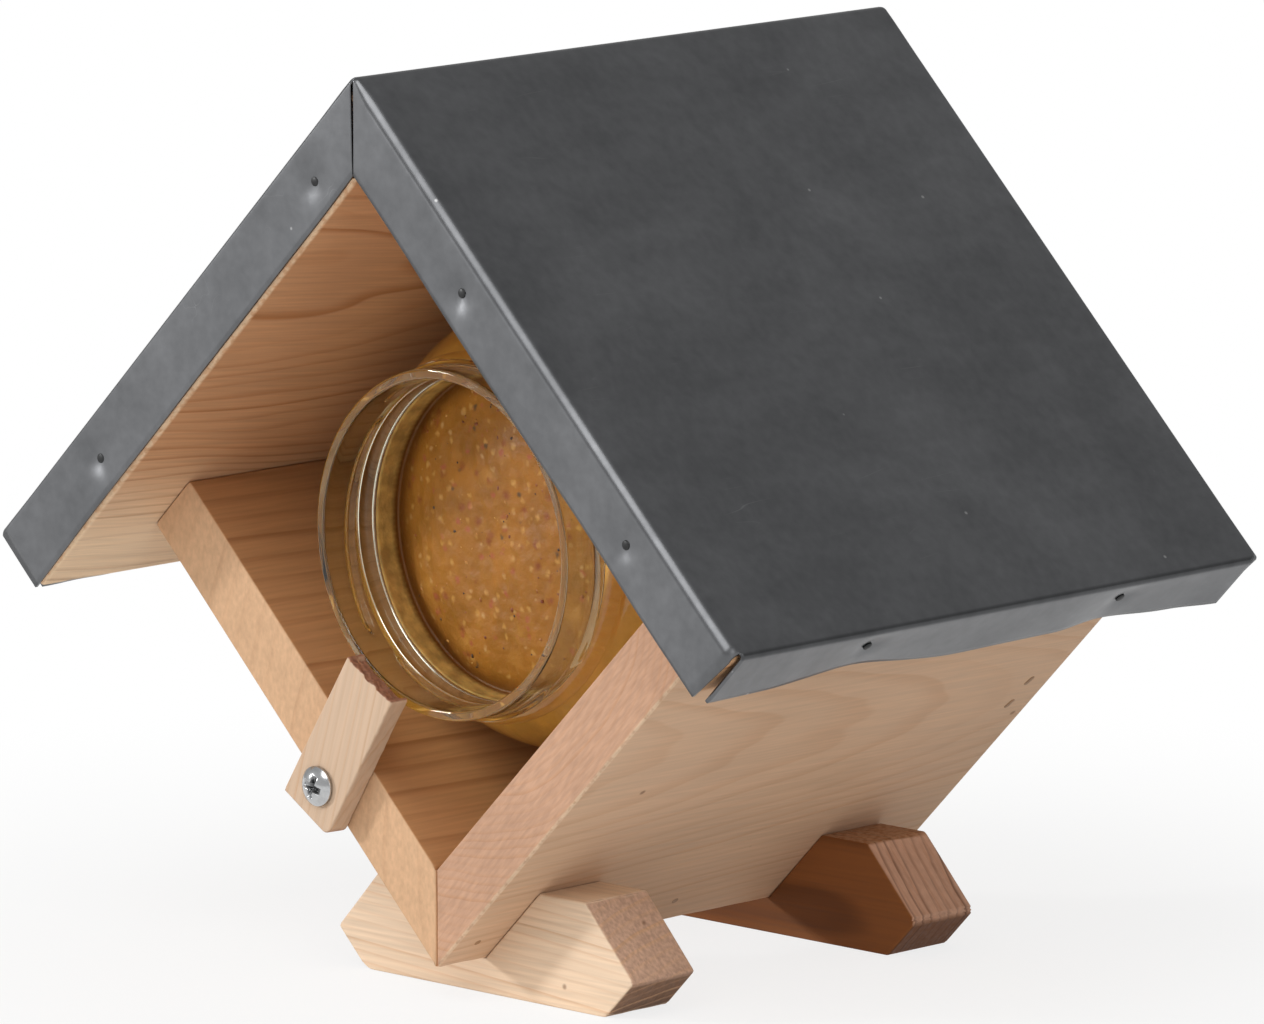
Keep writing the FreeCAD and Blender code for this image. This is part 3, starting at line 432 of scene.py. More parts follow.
BUTTER_FLECKS = (
    # cell, radius and fade in millimetres, share of the cells that hold one, strength, colour
    (8.0, 2.9, 2.2, 0.6, 0.5, "b98236"),
    (4.4, 1.3, 0.9, 0.5, 0.8, "85421d"),
    (3.6, 1.0, 0.7, 0.45, 0.75, "a5523a"),
    (2.6, 0.9, 0.7, 0.5, 0.6, "cf9f55"),
    (3.2, 0.8, 0.6, 0.32, 0.45, "d8b37a"),
    (5.0, 0.9, 0.6, 0.5, 0.85, "54402a"),
)
# how ragged the flecks are, and where the dark oily edge and its painted shade stand: its middle, set off to
# the right so that the band is wider on the left, and its start and end past the fill's edge
FLECK_JAG = 1.4
OIL_AND_SHADE_MIDDLE = (3.2, 0.0, 0.5)
OIL_AND_SHADE_START, OIL_AND_SHADE_END = -4.5, 2.2
# wet line of the film in front of the fill's edge
WET_START, WET_END = -1.1, -0.2
# the film and the butter in the jar's body start this far outside the fill's edge
FILM_PAST, BODY_PAST, COAT_FADE = 0.02, 0.3, 0.05


def coarse_butter(name, axis, edge):
    """Peanut butter with ground seeds: a dense ochre paste in soft clouds, oily and dark at its edge, with
    painted shade that widens that dark band on the left, and with ochre and red-brown patches and cream
    and dark flecks. Outside the edge it is a film on the glass, and then the paler butter that is pressed
    against the jar's body, made paler partly as painted light."""
    material, tree, shader = new_material(name, {"Subsurface Weight": 0.12, "Subsurface Scale": 0.004,
                                                 "Specular IOR Level": 0.35})
    place = add(tree, "TexCoord", out="Object")
    jitter = add(tree, "TexNoise", {"Vector": place, "Scale": 1 / (1.6 * MM), "Detail": 1.0}, out="Color")
    ragged = add(tree, "VectorMath", {0: jitter, 1: (FLECK_JAG * MM,) * 3, 2: place},
                 operation="MULTIPLY_ADD")
    clouds = add(tree, "TexNoise", {"Vector": place, "Scale": 1 / (11 * MM), "Detail": 4.0, "Roughness": 0.6})
    tone = add(tree, "MapRange", {"Value": clouds, "From Min": 0.35, "From Max": 0.65})
    shade = add(tree, "Mix", {0: tone, 1: paint("butter", 0.8), 2: paint("butter", 1.12)}, data_type="RGBA")
    for cell, radius, fade, chance, strength, code in BUTTER_FLECKS:
        near = add(tree, "TexVoronoi", {"Vector": ragged, "Scale": 1 / (cell * MM)})
        spot = add(tree, "MapRange", {"Value": near, "From Min": radius / cell,
                                      "From Max": (radius - fade) / cell, "To Max": strength})
        lot = add(tree, "SeparateColor", {0: near.node.outputs["Color"]})
        chosen = add(tree, "Math", {0: lot, 1: chance}, operation="LESS_THAN")
        share = add(tree, "Math", {0: spot, 1: chosen}, operation="MULTIPLY")
        shade = add(tree, "Mix", {0: share, 1: shade, 2: opaque(linear(code))}, data_type="RGBA")

    centred = add(tree, "VectorMath", {0: place, 1: Vector(axis) * MM}, operation="SUBTRACT")
    flat = add(tree, "VectorMath", {0: centred, 1: ACROSS}, operation="MULTIPLY")
    reach = add(tree, "VectorMath", {0: flat}, operation="LENGTH")
    # painted shade: the dark oily band is centred right of the axis, so it widens on the left side
    aside = add(tree, "VectorMath", {0: flat, 1: Vector(OIL_AND_SHADE_MIDDLE) * MM}, operation="SUBTRACT")
    oil_and_shade_reach = add(tree, "VectorMath", {0: aside}, operation="LENGTH")
    oil_and_shade_share = add(tree, "MapRange", {"Value": oil_and_shade_reach, "From Min": (edge + OIL_AND_SHADE_START) * MM,
                                  "From Max": (edge + OIL_AND_SHADE_END) * MM, "To Max": 0.85},
               interpolation_type="SMOOTHSTEP")
    whole = add(tree, "Mix", {0: oil_and_shade_share, 1: shade, 2: paint("oil_and_shade")}, data_type="RGBA")
    streaks = add(tree, "TexNoise", {"Vector": place, "Scale": 1 / (3.5 * MM), "Detail": 3.0})
    smear = add(tree, "MapRange", {"Value": streaks, "From Min": 0.35, "From Max": 0.65})
    film = add(tree, "Mix", {0: smear, 1: paint("film", 0.65), 2: paint("film", 1.2)}, data_type="RGBA")
    height = add(tree, "SeparateXYZ", {0: centred}, out="Y")
    wet = add(tree, "MapRange", {"Value": height, "From Min": WET_START * MM, "From Max": WET_END * MM})
    film = add(tree, "Mix", {0: wet, 1: film, 2: paint("amber")}, data_type="RGBA")
    # partly painted light: the butter against the glass is a lighter copy of the paste
    pressed_and_lit = add(tree, "Mix", {0: tone, 1: paint("pressed_and_lit", 0.8), 2: paint("pressed_and_lit", 1.1)},
                  data_type="RGBA")
    for past, coat in ((FILM_PAST, film), (BODY_PAST, pressed_and_lit)):
        beyond = add(tree, "MapRange", {"Value": reach, "From Min": (edge + past) * MM,
                                        "From Max": (edge + past + COAT_FADE) * MM})
        whole = add(tree, "Mix", {0: beyond, 1: whole, 2: coat}, data_type="RGBA")
    rough = add(tree, "MapRange", {"Value": clouds, **NOISE_SPREAD, "To Min": 0.42, "To Max": 0.6})
    fine = add(tree, "TexNoise", {"Vector": place, "Scale": 1 / (1.2 * MM), "Detail": 3.0})
    bump = add(tree, "Bump", {"Height": fine, "Strength": 0.55, "Distance": 0.35 * MM})
    feed(tree, shader, {"Base Color": whole, "Roughness": rough, "Normal": bump})
    return material


SEED_TONES = ((0.0, "c99a4e"), (0.2, "b67c38"), (0.45, "9a5a26"), (0.65, "84401f"), (0.85, "40281a"))


def chopped_seeds(name):
    """Chopped nuts and seeds in the butter: cream, tan, red-brown and dark crumbs, chosen by the tone
    that each crumb carries, with a slight oily gloss."""
    material, tree, shader = new_material(name, {"Roughness": 0.45, "Subsurface Weight": 0.1,
                                                 "Subsurface Scale": 0.002})
    tone = add(tree, "Attribute", out="Fac", attribute_name="tone")
    seed = add(tree, "ValToRGB", {0: tone}, stops=[(at, opaque(linear(code))) for at, code in SEED_TONES])
    place = add(tree, "TexCoord", out="Object")
    mottle = add(tree, "TexNoise", {"Vector": place, "Scale": 1 / (0.5 * MM)})
    value = add(tree, "MapRange", {"Value": mottle, "To Min": 0.75, "To Max": 1.25})
    shade = add(tree, "HueSaturation", {"Value": value, "Color": seed})
    feed(tree, shader, {"Base Color": shade})
    return material


def matt_floor(name):
    """Matt white studio floor, slightly gritty: it glows white to the camera, in reflections and through
    glass, a little less near the feeder, so that only a soft shadow shows there."""
    material, tree, shader = new_material(name, {"Roughness": 0.9, "Specular IOR Level": 0.1})
    place = add(tree, "TexCoord", out="Object")
    away = add(tree, "VectorMath", {0: place}, operation="LENGTH")
    far = add(tree, "MapRange", {"Value": away, "From Min": 0.1, "From Max": 0.32, "To Min": 0.8,
                                 "To Max": 1.0}, interpolation_type="SMOOTHSTEP")
    grit = add(tree, "TexNoise", {"Vector": place, "Scale": 1 / (25 * MM)})
    tone = add(tree, "MapRange", {"Value": grit, "To Min": 0.985, "To Max": 1.0})
    shade = add(tree, "HueSaturation", {"Value": tone, "Color": paint("floor")})
    feed(tree, shader, {"Base Color": shade})
    seen = add(tree, "LightPath", out="Is Camera Ray")
    path = seen.node.outputs
    for other in ("Is Glossy Ray", "Is Transmission Ray"):
        seen = add(tree, "Math", {0: seen, 1: path[other]}, operation="MAXIMUM")
    white = add(tree, "Math", {0: seen, 1: far}, operation="MULTIPLY")
    glow = add(tree, "Emission", {"Color": opaque(linear("ffffff")), "Strength": 1.0})
    both = add(tree, "MixShader", {0: white, 1: shader.outputs[0], 2: glow})
    feed(tree, node_of(tree, "OUTPUT_MATERIAL"), {"Surface": both})
    return material


# brings the mean of the waves to about 1
RIPPLE_GAIN = 1.6


def ripple(a, b, seed, reach, waves=6):
    """Smooth unevenness between about -1 and 1 over two coordinates: the mean of sine waves whose
    directions, lengths near the given reach, and starts come from a seeded draw."""
    draw = np.random.default_rng(seed)
    turn, start = draw.uniform(0, FULL_TURN, (2, waves))
    pitch = FULL_TURN / (reach * draw.uniform(0.6, 1.7, waves))
    phase = (a[..., None] * np.cos(turn) + b[..., None] * np.sin(turn)) * pitch + start
    return np.sin(phase).mean(-1) * RIPPLE_GAIN


# reach of the fine and the coarse ripple in broken wood, and the coarse one's strength
TORN_FINE, TORN_COARSE, TORN_SHARE = 2.2, 5.0, 0.4


def torn(y, along, seed, depth):
    """Broken wood: hollows up to about the given depth, from a fine and a coarse ripple."""
    fine = 0.5 + 0.5 * ripple(y, along, seed, TORN_FINE)
    return depth * np.clip(fine + TORN_SHARE * ripple(y, along, seed + 1, TORN_COARSE), 0, 1 + TORN_SHARE)


def tilted(x, y, z, keel):
    """World place of points in the boards' frame, where x runs up the right board and z up the left."""
    x, y, z = np.broadcast_arrays(x, y, z)
    return np.stack(((x - z) * DIAGONAL, y, keel + (x + z) * DIAGONAL), axis=-1)


def grid_faces(rows, columns, offset=0, closed=False):
    """Quads between the points of a grid stored row by row. A closed grid joins its last column to the
    first."""
    row = np.arange(rows - 1)[:, None] * columns
    column = np.arange(columns if closed else columns - 1)[None, :]
    ahead = (column + 1) % columns
    corners = (row + column, row + columns + column, row + columns + ahead, row + ahead)
    quads = np.stack([np.broadcast_to(corner, (rows - 1, column.size)) for corner in corners], -1)
    return quads.reshape(-1, 4) + offset


# points of one piece that are closer than this become one
MERGE = 0.002


def piece(name, points, faces, material, body, nodes, slot, flat=(), merge=True, **marks):
    """Makes one piece from points in millimetres, merges its poles and seams, and ties it to its body.
    Marks are numbers that its points carry for the material."""
    mesh = bpy.data.meshes.new(name)
    mesh.from_pydata((np.asarray(points).reshape(-1, 3) * MM).tolist(), [], [list(f) for f in faces])
    shading = np.ones(len(mesh.polygons), bool)
    shading[list(flat)] = False
    mesh.polygons.foreach_set("use_smooth", shading)
    for mark, values in marks.items():
        carried = mesh.attributes.new(mark, "FLOAT", "POINT")
        carried.data.foreach_set("value", np.asarray(values, np.float32).ravel())
    if merge:
        work = bmesh.new()
        work.from_mesh(mesh)
        bmesh.ops.remove_doubles(work, verts=work.verts, dist=MERGE * MM)
        work.to_mesh(mesh)
        work.free()
    mesh.validate()
    mesh.materials.append(material)
    made = bpy.data.objects.new(name, mesh)
    bpy.context.scene.collection.objects.link(made)
    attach(made, body)
    if nodes:
        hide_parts(*nodes)
    return made


ARC_POINTS = 6


def rounded_outline(corners, radii, shares):
    """Closed outline with rounded corners. Each arc starts radius * tan(turn / 2) before its corner and
    turns by the angle between the two edges; the straight edges are divided at the given shares.
    Returns points, inward directions, a mark that is 1 on the arcs and the place along each straight edge."""
    corners = np.asarray(corners, float)
    radii = np.asarray(radii, float)
    ahead = np.roll(corners, -1, 0) - corners
    heading = ahead / np.linalg.norm(ahead, axis=1, keepdims=True)
    arriving = np.roll(heading, 1, 0)
    cross = arriving[:, 0] * heading[:, 1] - arriving[:, 1] * heading[:, 0]
    turn = np.arctan2(cross, (arriving * heading).sum(1))
    bow = (np.sign(turn) * radii)[:, None]
    left = np.stack((-arriving[:, 1], arriving[:, 0]), 1)
    start = corners - arriving * (radii * np.tan(np.abs(turn) / 2))[:, None]
    centre = start + left * bow
    angle = turn[:, None] * np.linspace(0, 1, ARC_POINTS)
    inward_arc = np.stack((left[:, :1] * np.cos(angle) - left[:, 1:] * np.sin(angle),
                           left[:, :1] * np.sin(angle) + left[:, 1:] * np.cos(angle)), -1)
    arc = centre[:, None] - inward_arc * bow[:, None]
    run = np.roll(arc[:, 0], -1, 0) - arc[:, -1]
    edge = arc[:, -1][:, None] + run[:, None] * shares[None, :, None]
    inward_edge = np.broadcast_to(np.stack((-heading[:, 1], heading[:, 0]), 1)[:, None], edge.shape)
    points = np.concatenate((arc, edge), 1).reshape(-1, 2)
    inward = np.concatenate((inward_arc, inward_edge), 1).reshape(-1, 2)
    on_arc = np.concatenate((np.ones(arc.shape[:2]), np.zeros(edge.shape[:2])), 1).ravel()
    place = np.concatenate((np.zeros(arc.shape[:2]), np.broadcast_to(shares, edge.shape[:2])), 1).ravel()
    return points, inward, on_arc, place


def depth_of(node):
    """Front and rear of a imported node, in millimetres along y."""
    low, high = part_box(node)
    return low.y / MM, high.y / MM


EDGE_SHARES = np.concatenate(([0.012, 0.03], np.linspace(0.06, 0.94, 23), [0.97, 0.988]))
END_POINTS, LENGTH_POINTS = 5, 64
# millimetres that one point of the outline counts for in the ripples
POINT_STEP = 1.7
# depth and reach of the nibbles in the edges, and of the unevenness all over
NIBBLE, NIBBLE_REACH = 0.22, 14.0
UNEVEN, UNEVEN_REACH = 0.04, 60.0
# share of an edge over which a relief fades, and share of a corner's radius that may be taken off its arc
FADE = 0.08
ARC_LIMIT = 0.95


def sawn_block(name, node, corners, material, slot, seed, body="house", corner_round=None, end_round=None,
               relief=None):
    """A sawn wooden block in place of a node. Its rounded outline, x right and z up, is carried along y;
    near both ends the ring is drawn in along a quarter circle, and its edges are nibbled by a ripple. A
    relief function of y, the place along the outline, the corner's number, the arc mark and a fade that is
    1 along the edges and 0 at their corners gives further depth."""
    size = sizes()
    front, rear = depth_of(node)
    radii = np.full(len(corners), size["edge_round"]) if corner_round is None else np.array(corner_round)
    points, inward, on_arc, share = rounded_outline(corners, radii, EDGE_SHARES)
    quarter = np.linspace(0, math.pi / 2, END_POINTS)
    end = end_round or min(size["end_round"], radii.min())
    step_in = end * (1 - np.sin(quarter))
    step_on = end * (1 - np.cos(quarter))
    # two rows of points lie close behind each rounded end
    first, second = 1.2 * end + 0.3, 2.5 * end + 0.5
    middle = np.linspace(front + second, rear - second, LENGTH_POINTS)
    middle = np.concatenate(([front + first], middle, [rear - first]))
    y = np.concatenate((front + step_on, middle, rear - step_on[::-1]))[:, None]
    drawn = np.concatenate((step_in, np.zeros(len(middle)), step_in[::-1]))[:, None]
    along = np.arange(len(points))[None, :] * POINT_STEP
    nibble = np.clip(ripple(y, along, seed, NIBBLE_REACH), 0, 1) * on_arc * NIBBLE
    nibble = nibble + (1 + ripple(y, along, seed + 1, UNEVEN_REACH)) * UNEVEN
    if relief is not None:
        corner = np.arange(len(points)) // (len(points) // len(corners))
        fade = np.clip(np.minimum(share, 1 - share) / FADE, 0, 1)
        nibble = nibble + relief(y, along, corner, on_arc, fade)
    limit = np.where(on_arc > 0, np.repeat(radii, len(points) // len(corners)) * ARC_LIMIT, np.inf)
    place = points[None] + inward[None] * np.minimum(drawn + nibble, limit)[..., None]
    ring = np.stack((place[..., 0], np.broadcast_to(y, place.shape[:2]), place[..., 1]), -1)
    rows, columns = ring.shape[:2]
    sides = grid_faces(rows, columns, closed=True).tolist()
    caps = [list(range(columns)), list(range(rows * columns - 1, (rows - 1) * columns - 1, -1))]
    return piece(name, ring, sides + caps, material, body, [node], slot,
                 flat=(len(sides), len(sides) + 1), merge=False)


def board_outline(corners, keel):
    """Outline in the world of corners given in the boards' frame."""
    place = np.asarray(corners, float)
    world = tilted(place[:, 0], 0.0, place[:, 1], keel)
    return world[:, [0, 2]]


# directions of the grain, and the way that the boards' lower front edges look, which are frayed and carry a
# painted highlight
ALONG_X, ALONG_Y = (1, 0, 0), (0, 1, 0)
FRONT_EDGE = (0.5, -DIAGONAL, -0.5)
# directions square to the four slopes
DOWN_RIGHT, DOWN_LEFT = (DIAGONAL, 0, -DIAGONAL), (-DIAGONAL, 0, -DIAGONAL)
UP_RIGHT, UP_LEFT = (DIAGONAL, 0, DIAGONAL), (-DIAGONAL, 0, DIAGONAL)


class FEEDER_OT_side_boards(bpy.types.Operator):
    """Build the two side boards of the trough, mitred together at the keel"""

    bl_idname = "feeder.side_boards"
    bl_label = "Side boards"

    def execute(self, context):
        size = sizes()
        wide, thick, keel = size["side_width"], size["side_thickness"], size["keel"]
        right = board_outline([(0, 0), (wide, 0), (wide, thick), (thick, thick)], keel)
        left = board_outline([(0, 0), (thick, thick), (thick, wide), (0, wide)], keel)
        pale = larch("planed_larch_right_side", "right_side", pith=tilted(72.0, 0.0, 62.0, keel),
                     turn=(0.8, -45, 1.2), grain=ALONG_Y, ring=1.9, sway=6.0, taper=0.05, contrast=0.38,
                     soft=0.42, fibre=0.07, end_rings=1.5, mottle=0.1, pore=(4.0, 0.7), worn_and_lit=FRONT_EDGE)
        sawn_block("right_side_plank", "right_side_board", right, pale, "side_wood", seed=11,
                   corner_round=(0.2, 0.7, 0.7, 0.3), end_round=0.65)
        tan = larch("planed_larch_left_side", "left_side", pith=(60.0, 0.0, 30.0), turn=(0.5, 0, -0.8),
                    grain=ALONG_Y, ring=5.2, sway=3.0, taper=0.02, contrast=0.52, end_rings=0.3, mottle=0.08)
        sawn_block("left_side_plank", "left_side_board", left, tan, "side_wood", seed=23,
                   corner_round=(0.2, 0.3, 0.7, 0.7), end_round=0.5)
        return {"FINISHED"}


# how far the ridge's mitre is sprung open at its ends, and over what length that dies away
SPRING, SPRING_REACH = 2.3, 4.0


class FEEDER_OT_roof_boards(bpy.types.Operator):
    """Build the two roof boards, mitred together at the ridge"""

    bl_idname = "feeder.roof_boards"
    bl_label = "Roof boards"

    def execute(self, context):
        size = sizes()
        inner, keel, eave = size["side_width"], size["keel"], -size["eave"]
        outer = inner + size["roof_thickness"]
        cut = eave + size["eave_bevel"]
        end_round = size["roof_end_round"]
        right = board_outline([(inner, cut), (outer, eave), (outer, outer), (inner, inner)], keel)
        left = board_outline([(eave, inner), (inner, inner), (outer, outer), (eave, outer)], keel)
        front, rear = depth_of("right_roof_board")

        def sprung(mitre):
            """Relief that opens the mitred edge by a depth that dies away from both ends."""
            return lambda y, along, corner, on_arc, fade: (
                (corner == mitre) * np.sqrt(fade) * SPRING
                * np.exp(-np.minimum(y - front, rear - y) / SPRING_REACH))

        # partly painted light: its sapwood pales the underside towards the eave
        flame = larch("planed_larch_left_roof", "left_roof", pith=tilted(84.0, 0.0, 168.0, keel),
                      turn=(-8.6, 45, 0), grain=ALONG_Y, ring=2.6, sway=11.0, taper=0.05, sap_and_light=(78, 106),
                      worn_and_lit=FRONT_EDGE)
        sawn_block("left_roof_plank", "left_roof_board", left, flame, "roof_wood", seed=37,
                   corner_round=(0.7, 0.7, 2.0, 2.0), end_round=end_round, relief=sprung(1))
        plain = larch("planed_larch_right_roof", "right_roof", pith=tilted(180.0, 0.0, 50.0, keel),
                      turn=(1.0, -45, 1.5), grain=ALONG_Y, ring=2.8, sway=8.0, taper=0.05)
        sawn_block("right_roof_plank", "right_roof_board", right, plain, "roof_wood", seed=41,
                   corner_round=(0.7, 2.0, 2.0, 0.7), end_round=end_round, relief=sprung(2))
        return {"FINISHED"}


class FEEDER_OT_back_panel(bpy.types.Operator):
    """Build the square back panel between the boards' rear ends"""

    bl_idname = "feeder.back_panel"
    bl_label = "Back panel"

    def execute(self, context):
        size = sizes()
        low = size["side_thickness"] + size["panel_room"]
        high = size["side_width"] - size["panel_room"]
        outline = board_outline([(low, low), (high, low), (high, high), (low, high)], size["keel"])
        wood = larch("planed_larch_back", "back", pith=(0.0, 118.0, 92.0), turn=(90, 45, 0), grain=UP_RIGHT,
                     ring=2.8, sway=9.0, taper=0.05)
        sawn_block("back_plank", "back_panel", outline, wood, "side_wood", seed=53, corner_round=(0.2,) * 4)
        return {"FINISHED"}


# places along y of the saw lines in the rear foot's ends, with their depth and half their width
SAW_LINES = (1.6, 4.0, 5.6, 9.4, 12.2, 14.6, 16.3)
SAW_DEPTH, SAW_WIDTH = 0.25, 0.22


class FEEDER_OT_feet(bpy.types.Operator):
    """Build the two notched feet that the trough stands in; the rear one has scored, torn ends"""

    bl_idname = "feeder.feet"
    bl_label = "Feet"

    def execute(self, context):
        size = sizes()
        tall, point = size["foot_height"], size["foot_point"]
        notch = tall - size["keel"]
        half = [(size["foot_sole"], 0), (size["foot_reach"], point), (size["foot_top"], tall), (notch, tall)]
        outline = half + [(0, size["keel"])] + [(-x, z) for x, z in reversed(half)]
        # painted shade: both feet's end grain is painted dark below their points
        cream = larch("sawn_larch_front_foot", "front_foot", pith=(0.0, -20.0, -70.0), turn=(0, 0, -90),
                      grain=ALONG_X, ring=2.1, sway=3.5, taper=0.06, contrast=0.6, low_shade_and_knots=point, end_rings=1.2,
                      mottle=0.18, pore=(0.8, 0.8))
        sawn_block("front_foot_block", "front_foot", outline, cream, "foot_wood", seed=61,
                   corner_round=(2.4, 0.7, 0.7, 0.7, 0.7, 0.7, 0.7, 0.7, 4.0))
        # painted light: the rear foot's faces that look up are made paler
        brown = larch("sawn_larch_rear_foot", "rear_foot", pith=(0.0, 128.0, 8.0), turn=(0, 0, -90),
                      grain=ALONG_X, ring=2.7, sway=3.0, taper=0.01, contrast=0.9, low_shade_and_knots=point,
                      worn_and_lit=(0, 0, 1), fray_and_light_strength=0.25)
        front, _ = depth_of("rear_foot")

        def scored(y, along, corner, on_arc, fade):
            """Saw lines at fixed places along y down both upper chamfers, and torn points below them."""
            lines = np.sum([np.exp(-((y - front - place) / SAW_WIDTH) ** 2) for place in SAW_LINES], axis=0)
            chamfer = ((corner == 1) | (corner == 6)) * fade
            tip = ((corner == 1) | (corner == 7)) * on_arc
            return SAW_DEPTH * lines * chamfer + tip * torn(y, along, seed=73, depth=0.6)

        sawn_block("rear_foot_block", "rear_foot", outline, brown, "foot_wood", seed=71,
                   corner_round=(1.6, 1.1, 1.4, 0.7, 0.7, 0.7, 1.4, 1.1, 1.6), relief=scored)
        return {"FINISHED"}


# lean of the turn button's grain in degrees, and how far its torn end falls away to the rear
BUTTON_GRAIN = 17
BUTTON_FALL = 1.2


class FEEDER_OT_turn_button(bpy.types.Operator):
    """Build the wooden turn button, with a torn upper end"""

    bl_idname = "feeder.turn_button"
    bl_label = "Turn button"

    def execute(self, context):
        size = sizes()
        lean = size["button_lean"]
        pivot = np.array(middle_of("turn_button_screw"))
        up = np.array((math.sin(lean), math.cos(lean)))
        side = np.array((math.cos(lean), -math.sin(lean))) * size["button_width"] / 2
        top, tail = pivot + up * size["button_reach"], pivot - up * size["button_tail"]
        outline = [tail - side, tail + side, top + side, top - side]
        front, rear = depth_of("turn_button")
        fibre = math.radians(BUTTON_GRAIN)
        grain = (math.sin(fibre), 0, math.cos(fibre))
        wood = larch("sawn_larch_button", "button", pith=(pivot[0] - 60, -10.0, pivot[1]),
                     turn=(90, BUTTON_GRAIN, 0), grain=grain, ring=1.7, sway=1.5, taper=0.0, contrast=0.5,
                     fibre=0.06, mottle=0.3, pore=(1.0, 1.0))

        def broken(y, along, corner, on_arc, fade):
            """The upper end is torn and falls away to the rear, and the right edge is nibbled."""
            back = (y - front) / (rear - front)
            end = (corner == 2) * (torn(y, along, seed=85, depth=0.6) + BUTTON_FALL * back)
            return fade * (end + (corner == 1) * torn(y, along, seed=87, depth=0.2))

        sawn_block("turn_button_block", "turn_button", outline, wood, "button_wood", seed=83,
                   body="turn_button", corner_round=(0.4, 1.8, 0.8, 0.4), relief=broken)
        return {"FINISHED"}


def middle_of(node):
    """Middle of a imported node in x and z, in millimetres."""
    low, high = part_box(node)
    return (low.x + high.x) / 2 / MM, (low.z + high.z) / 2 / MM


def spaced(low, high, step, around=(), reach=4.0, fine=0.6):
    """Ascending samples from low to high at about one step, with finer ones round the given places."""
    plain = np.linspace(low, high, int(np.ceil((high - low) / step)) + 1)[1:-1]
    dense = [np.arange(-reach, reach + fine / 2, fine) + place for place in around]
    every = np.sort(np.concatenate([plain, *dense]))
    every = every[(every > low + fine / 3) & (every < high - fine / 3)]
    apart = np.diff(every, prepend=low) > fine / 3
    return np.concatenate(([low], every[apart], [high]))


# places of the nails up the front flanges and along the eaves
FLANGE_NAILS = {"right": (83.7, 17.6), "left": (110.5, 17.6)}
EAVE_NAILS = (-35.4, 41.9)
# share of a front flange's height that its row of nails lies down, and depth and reach of the nails' dents
NAIL_ROW = 0.55
DENT, DENT_REACH = 0.7, 2.4


def sheet_lines(size):
    """Lines of the zinc sheet in the boards' frame: its roof plane, the hems of its front and eave flanges,
    its eave, and the rows of nails in the front and the eave flanges."""
    top = size["side_width"] + size["roof_thickness"] + size["sheet_lift"]
    hem = size["side_width"] + size["sheet_hem"]
    eave_hem = size["side_width"] + size["eave_hem"]
    drop = -size["eave"] - size["sheet_lift"]
    return top, hem, eave_hem, drop, top - NAIL_ROW * (top - hem), top - size["eave_nail_drop"]


# how far the wavy eave hem is lifted, and how far the right one leans in, at places along y
EAVE_PLACES = (-80, -62, -35, -5, 26, 42, 62, 80)
EAVE_LIFT = (0.1, 0.4, 1.5, 0.3, 0.8, 1.4, 1.1, 1.2)
EAVE_LEAN = (0.0, 0.2, 1.6, 0.3, 0.4, 1.5, 0.6, -0.3)


def fold_path(flatness, count=12):
    """Profile of a right-angled fold, from 0 to 1: how far it has gone out and how far it has dropped. Its
    direction turns with an odd power of the way along it, so that a higher power leaves a flat band in the
    middle."""
    way = np.linspace(-1, 1, count)
    angle = math.pi / 4 * (1 + np.sign(way) * np.abs(way) ** flatness)
    middle = (angle[1:] + angle[:-1]) / 2
    out, fall = np.cumsum(np.cos(middle)), np.cumsum(np.sin(middle))
    return np.append(0, out / out[-1]), np.append(0, fall / fall[-1])


def eased(where, places, values):
    """Values between given places, joined by smooth steps that are level at each place."""
    places, values = np.asarray(places, float), np.asarray(values, float)
    index = np.clip(np.searchsorted(places, where) - 1, 0, len(places) - 2)
    share = np.clip((where - places[index]) / (places[index + 1] - places[index]), 0, 1)
    return values[index] + (values[index + 1] - values[index]) * share ** 2 * (3 - 2 * share)


def dimple(along, across, places):
    """Dents pressed in round nails at those places along a row: the sum of round bells."""
    dents = [np.exp(-((along - place) ** 2 + across ** 2) / (2 * DENT_REACH ** 2)) for place in places]
    return DENT * np.sum(dents, axis=0)


# spacing of the sheet's points, how far they are finer round a nail, and where they are finer near its ends
SHEET_STEP, FINE_REACH, FINE_END = 2.6, 5.0, 6.0
BEND_POINTS, RIDGE_POINTS, HANG_POINTS = 8, 5, 14
# depth and reach of the soft roll at the ridge, of the wide pans in the slope and of its drooping rim
ROLL, ROLL_REACH = 0.25, 6.0
PAN, PAN_REACH = 0.3, 90.0
DROOP, DROOP_REACH = 0.15, 2.4
# the pans fade over these distances from the ridge and eave, and from the front and rear folds
SLOPE_FADE, FOLD_FADE = 12.0, 10.0
# the front and rear folds reach their full width over this many ridge radii
TUCK = 3
# depth and reach of the waves in the eave hem, and across and along the front and rear flanges
HEM_WAVE, HEM_REACH = 0.12, 20.0
WARP, WARP_REACH = 0.22, 45.0
EDGE_WAVE, EDGE_REACH = 0.2, 40.0
# by side, right and left: the notch at the eave's corners, and how far the flanges end before the eave
NOTCH = {1: 2.6, -1: 1.8}
NOTCH_FLARE = 0.4
FLANGE_SHORT = {1: (0.8, 1.2), -1: (0.2, -0.1)}
# the wide fold keeps a flatter band
WIDE_FLATNESS = 1.25


